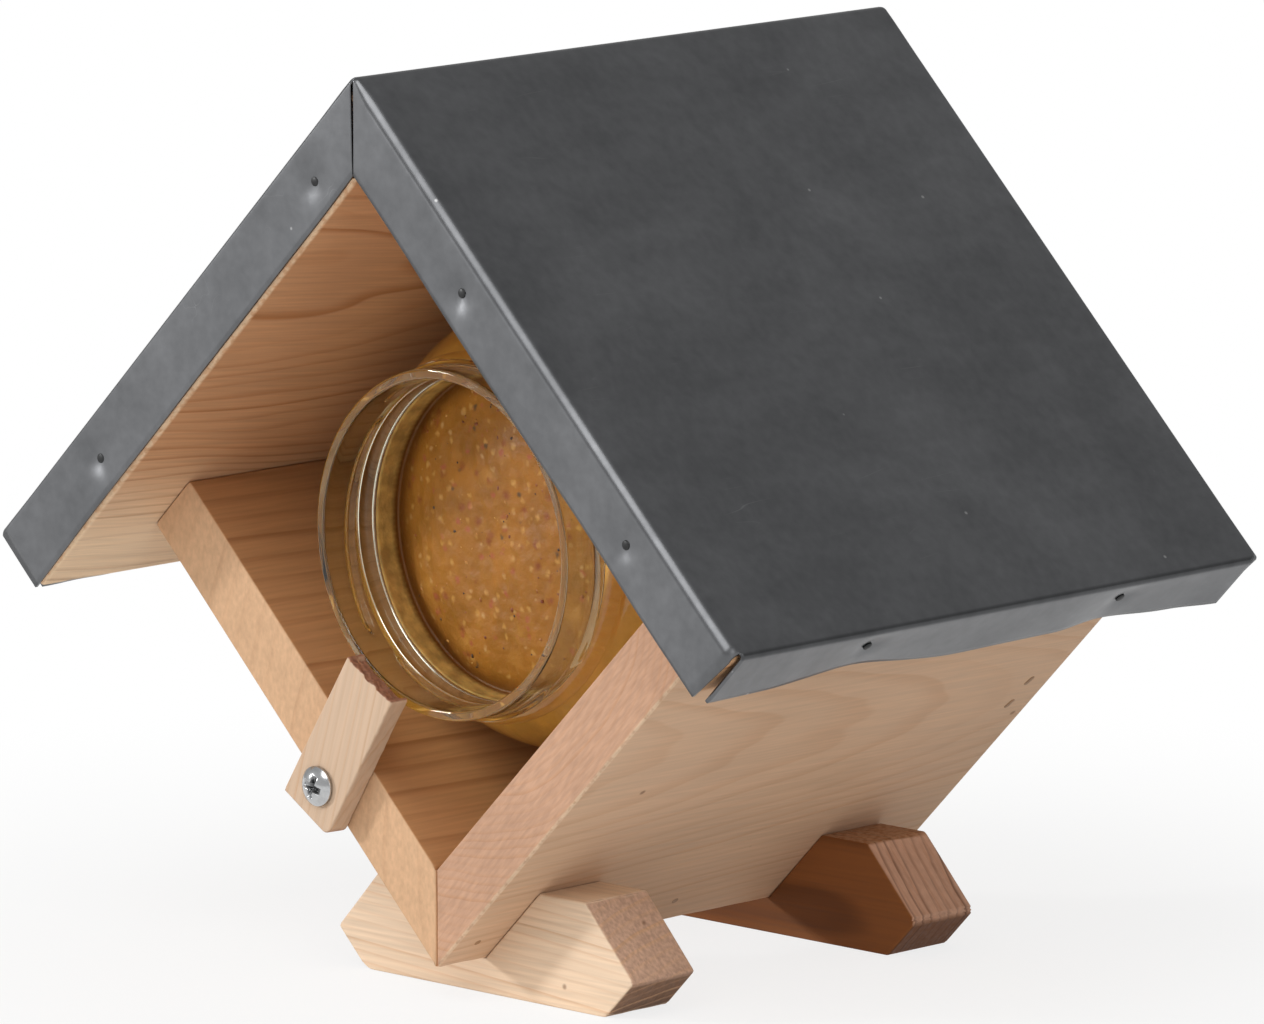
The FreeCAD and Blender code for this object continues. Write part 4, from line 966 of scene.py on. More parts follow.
def sheet_profile(size, nails):
    """Section of the sheet from the ridge over the eave to its hem, as distance t down the slope and height n
    above it: an eighth of a turn, the straight slope, a quarter of a turn and the hem, with a soft roll near
    the ridge. Also returns how many of its points lie above the eave's bend."""
    eave, ridge = size["eave_round"], size["ridge_round"]
    top, _, eave_hem, drop, _, _ = sheet_lines(size)
    reach = top - drop
    over = math.pi / 4 - np.linspace(0, math.pi / 4, RIDGE_POINTS)[:-1]
    slope = spaced(ridge, reach - eave, SHEET_STEP, [top - place for place in nails], FINE_REACH)
    bend = np.linspace(0, math.pi / 2, BEND_POINTS)[1:]
    down = np.linspace(0, top - eave_hem - eave, HANG_POINTS)[1:]
    t = np.concatenate((ridge - ridge * np.sin(over), slope, reach - eave + eave * np.sin(bend),
                        np.full(len(down), reach)))
    n = np.concatenate((ridge * (np.cos(over) - 1), np.zeros(len(slope)), -eave + eave * np.cos(bend),
                        -eave - down))
    rolled = ROLL * np.clip(1 - t / ROLL_REACH, 0, 1) ** 2
    return t + rolled * (t < ridge), n - rolled, len(over) + len(slope)


def slope_share(size, t):
    """0 at the ridge and at the eave, and 1 on most of the slope between them."""
    top, _, _, drop, _, _ = sheet_lines(size)
    above, below = t - size["ridge_round"], top - drop - size["eave_round"] - t
    return np.clip(above / SLOPE_FADE, 0, 1) * np.clip(below / SLOPE_FADE, 0, 1)


def on_sheet(size, mirror, t, rise, depth):
    """World place of points t down the slope from the ridge and rise above it, at y = depth. The mirror, 1
    or -1, puts them right or left."""
    keel, top = size["keel"], sheet_lines(size)[0]
    a, b = top + rise, top - t
    return tilted(a, depth, b, keel) if mirror > 0 else tilted(b, depth, a, keel)


def sheet_leaf(size, mirror, t, n, fold_rows, seed):
    """Main leaf of one side, from the ridge to the eave hem and between the two folds. Wide pans and a rim
    that droops make its slope uneven. Its hem is notched at both ends, lifted in waves, dented round its
    nails and, on the right, leans in."""
    eave, ridge = size["eave_round"], size["ridge_round"]
    top, _, eave_hem, drop, _, eave_row = sheet_lines(size)
    front, rear = depth_of("roof_sheet")
    deep, reach = rear - front, top - drop
    fine_places = [*(place - front for place in EAVE_NAILS), FINE_END, deep - FINE_END]
    y_share = spaced(0.0, deep, SHEET_STEP, fine_places, FINE_REACH) / deep
    lip = np.clip(-(n + eave) / (top - eave_hem - eave), 0, 1) * (t > ridge + 1)
    over_eave = np.clip((t - reach + eave) / eave, 0, 1)
    inset = [fold + over_eave * (NOTCH[mirror] + NOTCH_FLARE * lip - fold) for fold in fold_rows]
    depth = front + inset[0][:, None] + (deep - inset[0] - inset[1])[:, None] * y_share[None, :]
    level, height = lip[:, None], n[:, None]
    uneven = HEM_WAVE * ripple(depth, height * 3, seed, HEM_REACH)
    lifted = level * (eased(depth, EAVE_PLACES, EAVE_LIFT) + uneven)
    leaning = level * eased(depth, EAVE_PLACES, EAVE_LEAN) * (mirror > 0)
    dents = dimple(depth, height + top - eave_row, EAVE_NAILS) * (level > 0)
    on_slope = ((t > ridge) & (t < reach - eave + SLACK))[:, None]
    soft = slope_share(size, t)[:, None]
    gap = np.minimum(depth - front - fold_rows[0][:, None], rear - fold_rows[1][:, None] - depth)
    pan = PAN * ripple(t[:, None], depth, seed + 5, PAN_REACH) * soft * np.clip(gap / FOLD_FADE, 0, 1)
    rim = DROOP * soft * np.clip(1 - gap / DROOP_REACH, 0, 1) ** 2
    rise = height + (pan - rim) * on_slope + lifted
    leaf = on_sheet(size, mirror, t[:, None] - leaning - dents, rise, depth)
    return leaf if mirror > 0 else leaf[:, ::-1]


def sheet_flange(size, mirror, end, run, crest, fold, flatness, nails, seed, slit):
    """Front or rear flange of one side, for an end of -1 or 1. It takes up the leaf's edge, which runs down
    the slope at the crest's height, turns down through a fold of that width and flatness and hangs to its
    hem. It is warped, dented round its nails and wavy at its hem, and starts beside the slit at the ridge."""
    top, hem, _, drop, nail_row, _ = sheet_lines(size)
    reach = top - drop
    front, rear = depth_of("roof_sheet")
    edge = rear if end > 0 else front
    hang = top - hem - fold
    flat = np.linspace(0, 1, HANG_POINTS)[1:, None]
    out, fall = fold_path(flatness)
    rise = -np.concatenate((fold * fall[:, None], fold + hang * flat))
    stand = np.concatenate((fold * out[:, None], np.broadcast_to(fold, (len(flat), len(fold)))))
    ease = np.clip(-rise / fold, 0, 1)
    level = np.clip((-rise - fold) / hang, 0, 1)
    lift = rise + crest * (1 - ease)
    gape = slit[1] + (slit[0] - slit[1]) * level[:, :1]
    start = gape * np.sqrt(ease[:, :1]) - lift[:, :1]
    short = FLANGE_SHORT[mirror][0] + FLANGE_SHORT[mirror][1] * level[:, -1:]
    finish = run[-1] + (reach - short - run[-1]) * ease[:, -1:]
    share = (run - run[0]) / (run[-1] - run[0])
    along = start + (finish - start) * share
    dents = dimple(along, lift + top - nail_row, [top - place for place in nails]) * (level > 0)
    warp = WARP * ripple(along, lift * 2, seed + 9 + end, WARP_REACH) * level
    lift = lift + EDGE_WAVE * ripple(along, np.zeros_like(lift), seed + 13 + end, EDGE_REACH) * level
    flange = on_sheet(size, mirror, along, lift, edge + end * (stand - dents + warp - fold))
    return flange if mirror * end < 0 else flange[:, ::-1]


def sheet_side(size, mirror, nails, seed, folds, slit):
    """The three patches of one side: its main leaf and its front and rear flanges, whose folds have the given
    radii, narrow towards the ridge and leave a slit there, whose widths at its foot and its top are given."""
    narrow, wide, ridge = size["fold_round"], size["wide_fold"], size["ridge_round"]
    t, n, columns = sheet_profile(size, nails)
    tucked = np.clip((t - ridge) / (TUCK * ridge), 0, 1)
    fold_rows = [narrow + (fold - narrow) * tucked for fold in folds]
    patches = [sheet_leaf(size, mirror, t, n, fold_rows, seed)]
    run, crest = t[:columns], (n - DROOP * slope_share(size, t))[:columns]
    for end, radius, row in zip((-1, 1), folds, fold_rows):
        flatness = WIDE_FLATNESS if radius == wide else 1.0
        patches.append(sheet_flange(size, mirror, end, run, crest, row[:columns], flatness, nails, seed,
                                    slit))
    return patches


# widths of the slit at the ridge, at its foot and its top
RIGHT_SLIT = (0.05, 0.15)
LEFT_SLIT = (0.3, 1.2)


class FEEDER_OT_roof_sheet(bpy.types.Operator):
    """Build the zinc sheet, folded over the ridge and down over the roof boards' edges"""

    bl_idname = "feeder.roof_sheet"
    bl_label = "Roof sheet"

    def execute(self, context):
        size = sizes()
        narrow, wide = size["fold_round"], size["wide_fold"]
        patches = sheet_side(size, 1, FLANGE_NAILS["right"], 101, (wide, narrow), RIGHT_SLIT)
        patches += sheet_side(size, -1, FLANGE_NAILS["left"], 131, (narrow, narrow), LEFT_SLIT)
        points, faces, start = [], [], 0
        for patch in patches:
            points.append(patch.reshape(-1, 3))
            faces += grid_faces(*patch.shape[:2], offset=start).tolist()
            start += len(points[-1])
        top, _, _, drop, _, _ = sheet_lines(size)
        corner = tilted(top, 0.0, drop, size["keel"])
        zinc = weathered_zinc("weathered_zinc_sheet", (corner[0], corner[2]))
        made = piece("zinc_roof", np.concatenate(points), faces, zinc, "house", ["roof_sheet"], "roof_sheet")
        wall = made.modifiers.new("sheet thickness", "SOLIDIFY")
        wall.thickness = size["sheet_thickness"] * MM
        wall.offset = -1.0
        return {"FINISHED"}


def turned(radius, height, centre, axis, segments=32, side=None, stretch=1.0):
    """Surface of revolution: each profile point of that radius and height is carried round the axis. A
    stretch lengthens it along the given side into a slot with round ends. Returns points and faces."""
    axis = np.asarray(axis, float)
    if side is None:
        side = np.cross(axis, (0.0, 1.0, 0.0) if abs(axis[1]) < 0.9 else (1.0, 0.0, 0.0))
    side = side / np.linalg.norm(side)
    other = np.cross(axis, side)
    angle = np.arange(segments) * FULL_TURN / segments
    ahead = np.cos(angle) + np.sign(np.cos(angle)) * (stretch - 1)
    rim = ahead[:, None] * side + np.sin(angle)[:, None] * other
    radius, height = np.asarray(radius, float), np.asarray(height, float)
    points = np.asarray(centre) + radius[:, None, None] * rim + height[:, None, None] * axis
    return points, grid_faces(len(radius), segments, closed=True)


def joined(shapes):
    """Points and faces of several shapes of equal size as one list each."""
    count = shapes[0][0].shape[0] * shapes[0][0].shape[1]
    points = np.concatenate([p.reshape(-1, 3) for p, f in shapes])
    faces = np.concatenate([f + i * count for i, (p, f) in enumerate(shapes)])
    return points, faces.tolist()


# a roof nail's dome and the height of its edge, its shank's radius, length and point, and its eave setback
NAIL_DOME, NAIL_EDGE = 0.25, 0.1
NAIL_SHANK, NAIL_LENGTH, NAIL_POINT = 0.75, 9.0, 1.5
NAIL_SETBACK = 0.4


class FEEDER_OT_nails(bpy.types.Operator):
    """Build the nails in the zinc sheet's flanges, with small domed heads sunk in their dents"""

    bl_idname = "feeder.nails"
    bl_label = "Roof nails"

    def execute(self, context):
        size = sizes()
        keel, head = size["keel"], size["nail_head"] / 2
        _, _, _, drop, row, eave_row = sheet_lines(size)
        drop = drop + DENT + NAIL_SETBACK
        front, rear = depth_of("roof_sheet")
        steel = plated_steel("blued_nail_steel", paint("steel", 0.12), paint("steel", 0.03), 0.45)
        swing = np.linspace(0, math.pi / 2, 6)
        dome = np.stack((head * np.sin(swing), NAIL_EDGE + NAIL_DOME * np.cos(swing)), -1)
        under = [(head, -0.05), (head * 0.9, -0.2), (NAIL_SHANK, -0.3), (NAIL_SHANK, -NAIL_LENGTH),
                 (0.0, -NAIL_LENGTH - NAIL_POINT)]
        radius, height = np.concatenate((dome, under)).T
        flange = [(row, z) for z in FLANGE_NAILS["right"]] + [(x, row) for x in FLANGE_NAILS["left"]]
        groups = {
            "front_flange_nails": [(tilted(x, front + DENT, z, keel), (0, -1, 0)) for x, z in flange],
            "rear_flange_nails": [(tilted(x, rear - DENT, z, keel), (0, 1, 0)) for x, z in flange],
            "eave_nails": ([(tilted(eave_row, y, drop, keel), DOWN_RIGHT) for y in EAVE_NAILS]
                           + [(tilted(drop, y, eave_row, keel), DOWN_LEFT) for y in EAVE_NAILS]),
        }
        for node, nails in groups.items():
            points, faces = joined([turned(radius, height, centre, axis, 20) for centre, axis in nails])
            piece(node + "_domed", points, faces, steel, "house", [node], "nail_steel")
        return {"FINISHED"}


# half the distance between two back panel brads, their lean, how far they stand proud, length and point
BRAD_APART, BRAD_LEAN, BRAD_PROUD = 4.05, 0.25, 0.04
BRAD_LENGTH, BRAD_POINT = 26.0, 0.5
PLAIN_BRADS = ("keel_brads", "ridge_brads", "roof_board_brads", "front_foot_brads", "rear_foot_brads")


class FEEDER_OT_brads(bpy.types.Operator):
    """Build the back panel's flat brads, whose heads show as brown dashes, and finish the other brads"""

    bl_idname = "feeder.brads"
    bl_label = "Brads"

    def execute(self, context):
        size = sizes()
        steel = plated_steel("brad_steel", paint("steel", 0.6), paint("steel", 0.3), 0.4)
        brown = plated_steel("lacquered_brads", paint("lacquer"), paint("lacquer", 0.6), 0.5, metallic=0.0)
        for node in PLAIN_BRADS:
            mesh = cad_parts[node].data
            mesh.materials.clear()
            mesh.materials.append(brown if node == "keel_brads" else steel)
        front, rear = depth_of("back_panel_brads")
        keel, deep = size["keel"], (front + rear) / 2
        middle = (size["side_thickness"] + size["side_width"]) / 2
        outer = size["side_width"] + size["roof_thickness"]
        half = size["brad_wide"] / 2
        radius = (0.0, half * 0.9, half, half, 0.0)
        height = (BRAD_PROUD, BRAD_PROUD, -0.1, -BRAD_LENGTH, -BRAD_LENGTH - BRAD_POINT)
        right, left = np.array((DIAGONAL, BRAD_LEAN, DIAGONAL)), np.array((-DIAGONAL, BRAD_LEAN, DIAGONAL))
        brads = []
        for place in (middle - BRAD_APART, middle + BRAD_APART):
            brads += [(tilted(place, deep, 0.0, keel), DOWN_RIGHT, right),
                      (tilted(0.0, deep, place, keel), DOWN_LEFT, left),
                      (tilted(outer, deep, place, keel), UP_RIGHT, left),
                      (tilted(place, deep, outer, keel), UP_LEFT, right)]
        stretch = size["brad_long"] / size["brad_wide"]
        points, faces = joined([turned(radius, height, centre, axis, 24, side, stretch)
                                for centre, axis, side in brads])
        piece("panel_brads_flat", points, faces, brown, "house", ["back_panel_brads"], "nail_steel")
        return {"FINISHED"}


# cross recess: half its length and width, its depth, its turn in degrees and the softness of its walls
RECESS_REACH, RECESS_ARM, RECESS_DEPTH, RECESS_TURN, RECESS_WALL = 2.4, 0.65, 1.7, 20, 0.35
# it grows shallow outside its middle, by its whole depth in this distance, down to this share of it
RECESS_MIDDLE, RECESS_RUN, RECESS_LEAST = 0.3, 3.0, 0.2
# the pan head falls by this much to its rim, with this power of the radius, and is this thick
PAN_FALL, PAN_POWER, PAN_THICK = 1.6, 2.6, 2.3
SHANK_RADIUS, TIP_RADIUS, TAPER_LENGTH, TIP_LENGTH = 2.0, 1.2, 9, 4
SCREW_RINGS, SCREW_SEGMENTS = 56, 144


class FEEDER_OT_button_screw(bpy.types.Operator):
    """Build the pan-head screw that the turn button pivots on, with a cross recess"""

    bl_idname = "feeder.button_screw"
    bl_label = "Button screw"

    def execute(self, context):
        head = sizes()["screw_head"] / 2
        x, z = middle_of("turn_button_screw")
        tip, end = depth_of("turn_button_screw")
        long = end - tip
        rim = np.linspace(0, 1, SCREW_RINGS)[:, None]
        angle = np.arange(SCREW_SEGMENTS) * FULL_TURN / SCREW_SEGMENTS
        r = rim * head
        turn = angle + math.radians(RECESS_TURN)
        a, b = np.abs(r * np.cos(turn)), np.abs(r * np.sin(turn))
        cross = np.minimum(np.maximum(a - RECESS_REACH, b - RECESS_ARM),
                           np.maximum(b - RECESS_REACH, a - RECESS_ARM))
        shallow = np.clip(1 - (r - RECESS_MIDDLE) / RECESS_RUN, RECESS_LEAST, 1)
        recess = np.clip(0.5 - cross / RECESS_WALL, 0, 1) * shallow
        face = PAN_FALL * rim ** PAN_POWER + RECESS_DEPTH * recess
        under = np.array(((head, PAN_THICK - 0.1), (head * 0.97, PAN_THICK), (SHANK_RADIUS, PAN_THICK),
                          (SHANK_RADIUS, long - TAPER_LENGTH), (TIP_RADIUS, long - TIP_LENGTH), (0.0, long)))
        radius = np.concatenate((r, under[:, :1]))
        depth = np.concatenate((face, np.broadcast_to(under[:, 1:], (len(under), SCREW_SEGMENTS))))
        points = np.stack((x + radius * np.cos(angle), tip + depth, z + radius * np.sin(angle)), -1)
        # painted shade: the cross recess is marked so that its material paints it nearly black
        grime = np.concatenate((recess, np.zeros((len(under), SCREW_SEGMENTS))))
        faces = grid_faces(*points.shape[:2], closed=True).tolist()
        bright = plated_steel("zinc_plated_screw", paint("steel"), paint("steel", 0.6), 0.16)
        piece("button_screw", points, faces, bright, "house", ["turn_button_screw"], "screw_steel",
              grime=grime)
        return {"FINISHED"}


def jar_shoulder(size):
    """The jar's shoulder is one arc from the neck that runs smoothly into the body's side. Returns the
    distance of its centre from the axis, its radius, and the depth where the straight side starts."""
    step, run = size["jar_radius"] - size["neck_radius"], size["shoulder_length"]
    arc = (step ** 2 + run ** 2) / (2 * step)
    return size["jar_radius"] - arc, arc, size["neck_length"] + run


def arc_of(centre_r, centre_d, radius, start, end, count):
    """Profile arc as radii and depths, from one angle to another in degrees; 0 points outwards, 90 to the
    base."""
    angle = np.radians(np.linspace(start, end, count))
    return np.stack((centre_r + radius * np.cos(angle), centre_d + radius * np.sin(angle)), -1)


JAR_SEGMENTS = 192
# rounding of the rim's two edges, and radius of the flat middle of the base
LIP_ROUND, BASE_FLAT = 0.6, 20.0
# slanted thread lugs: their number, half their turn and the depth of their middle, then the slant over half
# a lug, their rise, half width and the turn over which an end fades
LUGS, LUG_HALF = 4, math.radians(40)
LUG_MIDDLE, LUG_SLANT, LUG_RISE, LUG_WIDTH, LUG_FADE = 9.0, 1.6, 1.1, 0.9, 0.08


class FEEDER_OT_jar(bpy.types.Operator):
    """Build the glass jar with its rim, slanted thread lugs and bead"""

    bl_idname = "feeder.jar"
    bl_label = "Jar"

    def execute(self, context):
        size = sizes()
        x, z = middle_of("glass_jar")
        rim, end = depth_of("glass_jar")
        tall = end - rim
        neck, body, wall, base = size["neck_radius"], size["jar_radius"], size["jar_wall"], size["base_round"]
        bore, inner_rim = neck - size["neck_wall"], neck - size["lip_width"]
        floor = tall - size["jar_base"]
        centre, arc, full = jar_shoulder(size)
        turn_out = math.degrees(math.asin(size["shoulder_length"] / arc))
        turn_in = math.degrees(math.acos((bore - centre) / (arc - wall)))
        throat = full - (arc - wall) * math.sin(math.radians(turn_in))
        bead_end = size["neck_length"] - size["bead_setback"]
        bead_start = bead_end - size["bead_width"]
        swell = np.linspace(0, math.pi, 20)
        bead = np.stack((neck + size["bead_rise"] * np.sin(swell),
                         bead_start + size["bead_width"] * (1 - np.cos(swell)) / 2), -1)
        profile = np.concatenate((
            [(0.0, floor), (BASE_FLAT, floor)],
            arc_of(body - base, tall - base, base - wall, 90, 0, 8),
            np.linspace((body - wall, tall - base), (body - wall, full), 10)[1:-1],
            arc_of(centre, full, arc - wall, 0, -turn_in, 26),
            np.linspace((bore, throat), (inner_rim, LIP_ROUND), 12)[1:-1],
            arc_of(inner_rim + LIP_ROUND, LIP_ROUND, LIP_ROUND, 180, 270, 7),
            arc_of(neck - LIP_ROUND, LIP_ROUND, LIP_ROUND, 270, 360, 7),
            np.linspace((neck, LIP_ROUND), (neck, bead_start), 44)[1:],
            bead[1:],
            arc_of(centre, full, arc, -turn_out, 0, 26),
            np.linspace((body, full), (body, tall - base), 10)[1:-1],
            arc_of(body - base, tall - base, base, 0, 90, 10),
            [(BASE_FLAT, tall), (0.0, tall)],
        ))
        radius, depth = profile[:, :1], profile[:, 1:]
        angle = np.arange(JAR_SEGMENTS)[None, :] * FULL_TURN / JAR_SEGMENTS
        sector = FULL_TURN / LUGS
        local = (angle + sector / 2) % sector - sector / 2
        slant = LUG_MIDDLE - LUG_SLANT * local / LUG_HALF
        ends = np.clip((LUG_HALF - np.abs(local)) / LUG_FADE, 0, 1)
        on_neck = (radius > neck - SLACK) * (depth < bead_start)
        wide = radius + LUG_RISE * np.exp(-((depth - slant) / LUG_WIDTH) ** 2) * ends * on_neck
        points = np.stack((x + wide * np.cos(angle), np.broadcast_to(rim + depth, wide.shape),
                           z + wide * np.sin(angle)), -1)
        faces = grid_faces(*points.shape[:2], closed=True).tolist()
        piece("moulded_jar", points, faces, jar_glass("soda_lime_glass"), "jar", ["glass_jar"], "jar_glass")
        return {"FINISHED"}


# how far the butter reaches into the glass, so that no air shows there, and its edge and film to the bore
BEDDED, EDGE_GAP, FILM_GAP = 0.25, 0.3, 0.1
FILL_SEGMENTS, FACE_RINGS, FILM_RINGS = 160, 70, 10
# depth, seed and reach of the lumps in the butter's face, and of the film's ragged top
LUMPS = ((0.4, 5, 18.0), (0.2, 6, 6.0), (0.09, 7, 2.6))
FILM_WAVE = (0.25, 9, 24.0)
# the face turns up to the glass by this much, outside this share of its radius
TURN_UP, TURN_START = 0.25, 0.96
# number of crumbs, the share of the face that they lie on, and how flat and how deep they lie
CRUMBS, CRUMB_SPAN, CRUMB_FLAT, CRUMB_SUNK = 220, 0.9, 0.5, 0.1
# smallest crumb and the spread of their radii
CRUMB_LEAST, CRUMB_SPREAD = 0.18, 0.36


def crumb_shapes(draw):
    """Crumbs of about unit size: small balls that are stretched, jagged, spun about y and flattened by a
    draw. Returns the points of each crumb and the faces of all of them."""
    ball = bmesh.new()
    bmesh.ops.create_icosphere(ball, subdivisions=1, radius=1.0)
    shape = np.array([v.co for v in ball.verts])
    shell = np.array([[v.index for v in f.verts] for f in ball.faces])
    ball.free()
    stretch = draw.uniform(0.6, 1.5, (CRUMBS, 1, 3))
    jag = draw.uniform(0.8, 1.2, (CRUMBS, len(shape), 1))
    spin = draw.uniform(0, FULL_TURN, CRUMBS)[:, None]
    across, thick, up = np.moveaxis(shape[None] * stretch * jag, -1, 0)
    points = np.stack((across * np.cos(spin) - up * np.sin(spin), thick * CRUMB_FLAT,
                       across * np.sin(spin) + up * np.cos(spin)), -1)
    faces = (shell[None] + np.arange(CRUMBS)[:, None, None] * len(shape)).reshape(-1, 3)
    return points, faces.tolist()


class FEEDER_OT_butter(bpy.types.Operator):
    """Build the peanut butter that fills the jar, and the chopped seeds in its face"""

    bl_idname = "feeder.butter"
    bl_label = "Peanut butter"

    def execute(self, context):
        size = sizes()
        x, z = middle_of("glass_jar")
        rim, end = depth_of("glass_jar")
        centre, arc, full = jar_shoulder(size)
        inside = arc - size["jar_wall"] + BEDDED
        fill = size["fill_depth"]
        bore = size["neck_radius"] - size["neck_wall"]
        turn = math.degrees(math.acos((bore + BEDDED - centre) / inside))
        throat = full - inside * math.sin(math.radians(turn))
        edge = bore - EDGE_GAP
        corner = size["base_round"] - size["jar_wall"] + BEDDED
        floor = end - rim - size["base_round"]

        def face_depth(share, angle):
            """Depth of the butter's face behind the rim: a crown that is flat in the middle and falls off
            with the fifth power, lumps of three sizes and an edge that turns up to the glass."""
            a, b = share * edge * np.cos(angle), share * edge * np.sin(angle)
            lumps = sum(rise * ripple(a, b, seed, reach) for rise, seed, reach in LUMPS)
            turned_up = TURN_UP * np.clip((share - TURN_START) / (1 - TURN_START), 0, 1) ** 2
            return fill - size["fill_crown"] * (1 - share ** 5) + lumps * (1 - share ** 8) - turned_up

        angle = np.arange(FILL_SEGMENTS)[None, :] * FULL_TURN / FILL_SEGMENTS
        share = np.linspace(0, 1, FACE_RINGS)[:, None]
        crown = face_depth(share, np.broadcast_to(angle, (FACE_RINGS, FILL_SEGMENTS)))
        wave, seed, reach = FILM_WAVE
        ragged = size["film_depth"] + wave * ripple(bore * np.cos(angle), bore * np.sin(angle), seed, reach)
        film = crown[-1:] + (ragged - crown[-1:]) * np.linspace(0, 1, FILM_RINGS)[1:, None]
        film_radius = np.linspace(edge, bore - FILM_GAP, FILM_RINGS)[1:, None]
        wall = np.concatenate((
            [(bore + BEDDED, throat)],
            arc_of(centre, full, inside, -turn, 0, 16)[1:],
            np.linspace((centre + inside, full), (centre + inside, floor), 6)[1:],
            arc_of(centre + inside - corner, floor, corner, 0, 90, 7)[1:],
            [(0.0, floor + corner)],
        ))
        radius = np.concatenate((share * edge, film_radius, [[bore + BEDDED]], wall[:, :1]))
        wall_depth = np.broadcast_to(wall[:, 1:], (len(wall), FILL_SEGMENTS))
        depth = np.concatenate((crown, film, ragged, wall_depth))
        points = np.stack((x + radius * np.cos(angle), rim + depth, z + radius * np.sin(angle)), -1)
        faces = grid_faces(*points.shape[:2], closed=True).tolist()
        paste = coarse_butter("coarse_peanut_butter", (x, rim + fill, z), edge)
        piece("butter_fill", points, faces, paste, "jar", ["peanut_butter"], "peanut_butter")

        draw = np.random.default_rng(17)
        part = np.sqrt(draw.uniform(0, CRUMB_SPAN, CRUMBS))
        where = draw.uniform(0, FULL_TURN, CRUMBS)
        grit = CRUMB_LEAST + CRUMB_SPREAD * draw.uniform(0, 1, CRUMBS) ** 2
        shapes, faces = crumb_shapes(draw)
        tone = draw.uniform(0, 1, CRUMBS) ** 0.7
        seat = np.stack((x + part * edge * np.cos(where), rim + face_depth(part, where) + CRUMB_SUNK,
                         z + part * edge * np.sin(where)), -1)
        points = shapes * grit[:, None, None] + seat[:, None]
        seeds = chopped_seeds("chopped_seeds_and_nuts")
        piece("chopped_seeds", points, faces, seeds, "jar", [], "peanut_butter", merge=False,
              tone=np.repeat(tone, points.shape[1]))
        return {"FINISHED"}


LAMPS = (
    # name, direction from the feeder, distance and width in metres, share of full white at right angles
    ("key_front_left", (-0.684, -0.68, 0.263), 2.2, 0.30, 0.40),
    ("soft_top_front", (0.24, -0.61, 0.755), 2.2, 1.6, 0.35),
    ("fill_right", (0.93, -0.2, 0.3), 2.2, 1.2, 0.10),
)
LAMP_TARGET = Vector((0, 0, 0.09))
FULL_WHITE = math.pi ** 2
FLOOR_HALF = 6
# the studio is brighter on the side that this direction, behind the camera and low, looks to
BRIGHT_SIDE = (0, -0.95, -0.3)
# the photograph's width and focal length in pixels, and its camera's place, direction and roll in degrees
PHOTO_WIDTH, PHOTO_FOCAL = 1264, 11442.77
CAMERA_PLACE = (1.672904, -1.715752, 0.509530)
CAMERA_FORWARD = Vector((-0.68762815, 0.70604047, -0.16933511))
CAMERA_ROLL = -0.13


def light_studio(scene):
    """A white studio that is brighter on one side, and soft round lamps that all look at one place. A lamp's
    power follows from the square of its distance and its share of full white."""
    scene.world = bpy.data.worlds.new("studio")
    scene.world.use_nodes = True
    tree = scene.world.node_tree
    look = add(tree, "TexCoord", out="Generated")
    ahead = add(tree, "VectorMath", {0: look, 1: BRIGHT_SIDE}, operation="DOT_PRODUCT")
    level = add(tree, "MapRange", {"Value": ahead, "From Min": -0.6, "From Max": 0.9, "To Min": 0.42,
                                   "To Max": 0.6}, interpolation_type="SMOOTHSTEP")
    feed(tree, node_of(tree, "BACKGROUND"), {"Color": opaque(linear("ffffff")), "Strength": level})
    for name, direction, distance, wide, share in LAMPS:
        data = bpy.data.lights.new(name, "AREA")
        data.shape = "DISK"
        data.size = wide
        data.energy = share * FULL_WHITE * distance ** 2
        lamp = bpy.data.objects.new(name, data)
        toward = Vector(direction).normalized()
        lamp.location = LAMP_TARGET + toward * distance
        lamp.rotation_mode = "QUATERNION"
        lamp.rotation_quaternion = (-toward).to_track_quat("-Z", "Y")
        scene.collection.objects.link(lamp)


def place_camera(scene):
    """The photograph's camera: its lens follows from the focal length and width in pixels."""
    data = bpy.data.cameras.new("photo_camera")
    data.sensor_fit = "HORIZONTAL"
    data.sensor_width = 36.0
    data.lens = PHOTO_FOCAL / PHOTO_WIDTH * data.sensor_width
    data.clip_start = 0.1
    data.clip_end = 50.0
    camera = bpy.data.objects.new("photo_camera", data)
    roll = Matrix.Rotation(math.radians(CAMERA_ROLL), 4, "Z")
    turn = CAMERA_FORWARD.to_track_quat("-Z", "Y").to_matrix().to_4x4() @ roll
    camera.matrix_world = Matrix.Translation(CAMERA_PLACE) @ turn
    scene.collection.objects.link(camera)
    scene.camera = camera


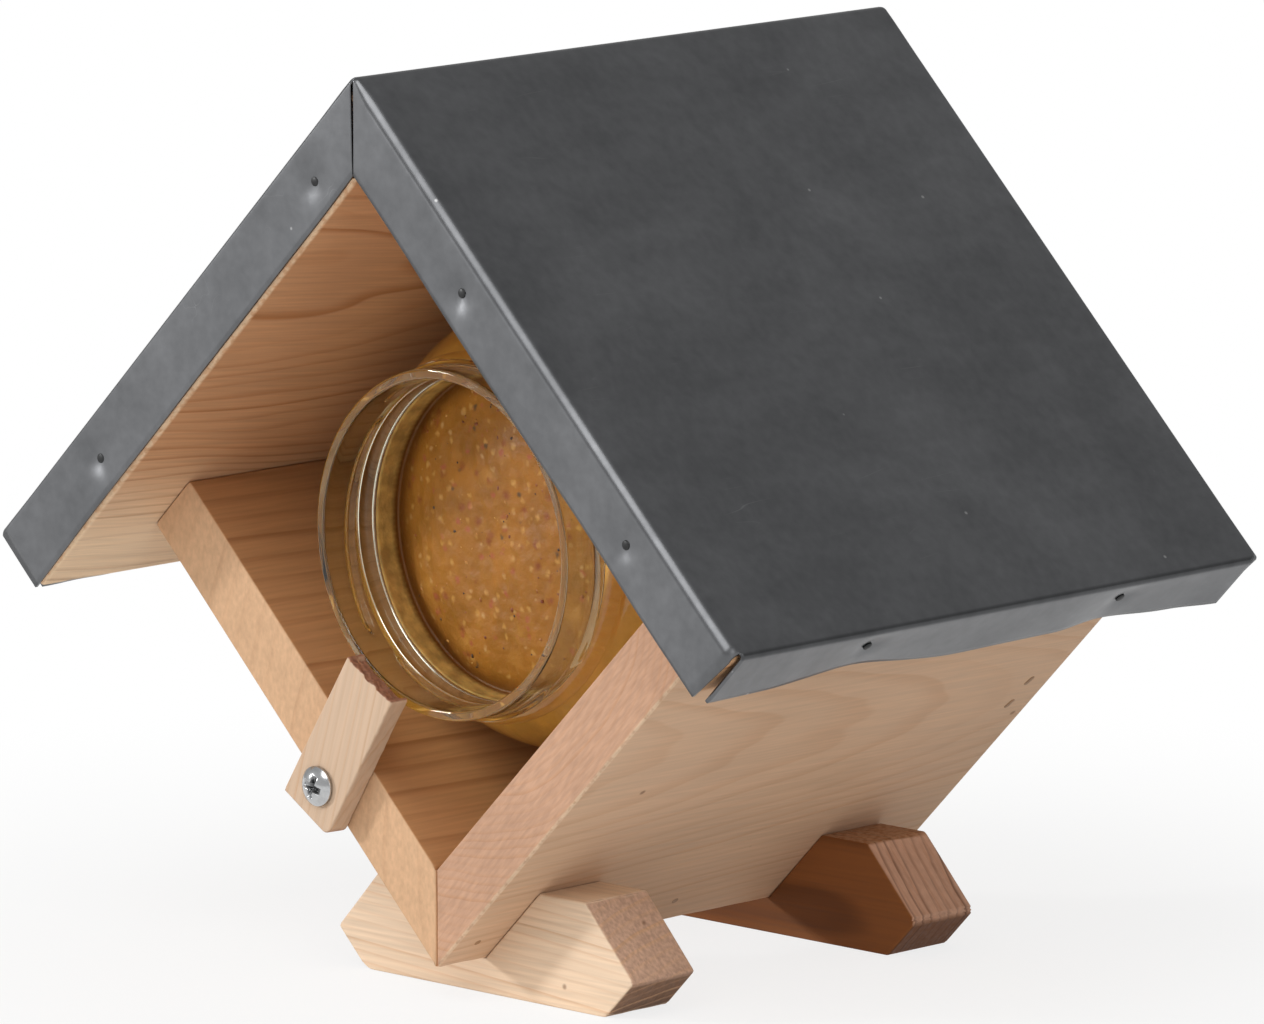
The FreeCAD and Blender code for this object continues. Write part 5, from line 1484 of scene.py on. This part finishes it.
class FEEDER_OT_stage(bpy.types.Operator):
    """Build the plain floor, the soft studio lights and the camera"""

    bl_idname = "feeder.stage"
    bl_label = "Stage"

    def execute(self, context):
        scene = context.scene
        scene.view_settings.view_transform = "Standard"
        mesh = bpy.data.meshes.new("studio_floor")
        corners = [(x * FLOOR_HALF, y * FLOOR_HALF, 0) for x, y in ((-1, -1), (1, -1), (1, 1), (-1, 1))]
        mesh.from_pydata(corners, [], [(0, 1, 2, 3)])
        mesh.materials.append(matt_floor("matt_white_floor"))
        floor = bpy.data.objects.new("studio_floor", mesh)
        scene.collection.objects.link(floor)
        light_studio(scene)
        place_camera(scene)
        return {"FINISHED"}


class FEEDER_PT_panel(bpy.types.Panel):
    """Buttons, sizes and colours of the feeder"""

    bl_idname = "FEEDER_PT_panel"
    bl_label = "Bird feeder"
    bl_space_type = "VIEW_3D"
    bl_region_type = "UI"
    bl_category = "Feeder"

    def draw(self, context):
        for step in STEPS:
            self.layout.operator(step.bl_idname)
        for group in (context.scene.feeder_sizes, context.scene.feeder_colours):
            box = self.layout.box()
            for name in group.bl_rna.properties.keys():
                if name not in ("rna_type", "name"):
                    box.prop(group, name)


STEPS = (
    FEEDER_OT_side_boards,
    FEEDER_OT_roof_boards,
    FEEDER_OT_back_panel,
    FEEDER_OT_feet,
    FEEDER_OT_roof_sheet,
    FEEDER_OT_nails,
    FEEDER_OT_brads,
    FEEDER_OT_turn_button,
    FEEDER_OT_button_screw,
    FEEDER_OT_jar,
    FEEDER_OT_butter,
    FEEDER_OT_stage,
)
CLASSES = (FeederSizes, FeederColours, *STEPS, FEEDER_PT_panel)


def register():
    for cls in CLASSES:
        bpy.utils.register_class(cls)
    bpy.types.Scene.feeder_sizes = bpy.props.PointerProperty(type=FeederSizes)
    bpy.types.Scene.feeder_colours = bpy.props.PointerProperty(type=FeederColours)


def unregister():
    del bpy.types.Scene.feeder_colours
    del bpy.types.Scene.feeder_sizes
    for cls in reversed(CLASSES):
        bpy.utils.unregister_class(cls)


def main():
    """Builds every piece and the stage."""
    register()
    for step in STEPS:
        group, name = step.bl_idname.split(".")
        getattr(getattr(bpy.ops, group), name)()


if __name__ == "__main__":
    main()
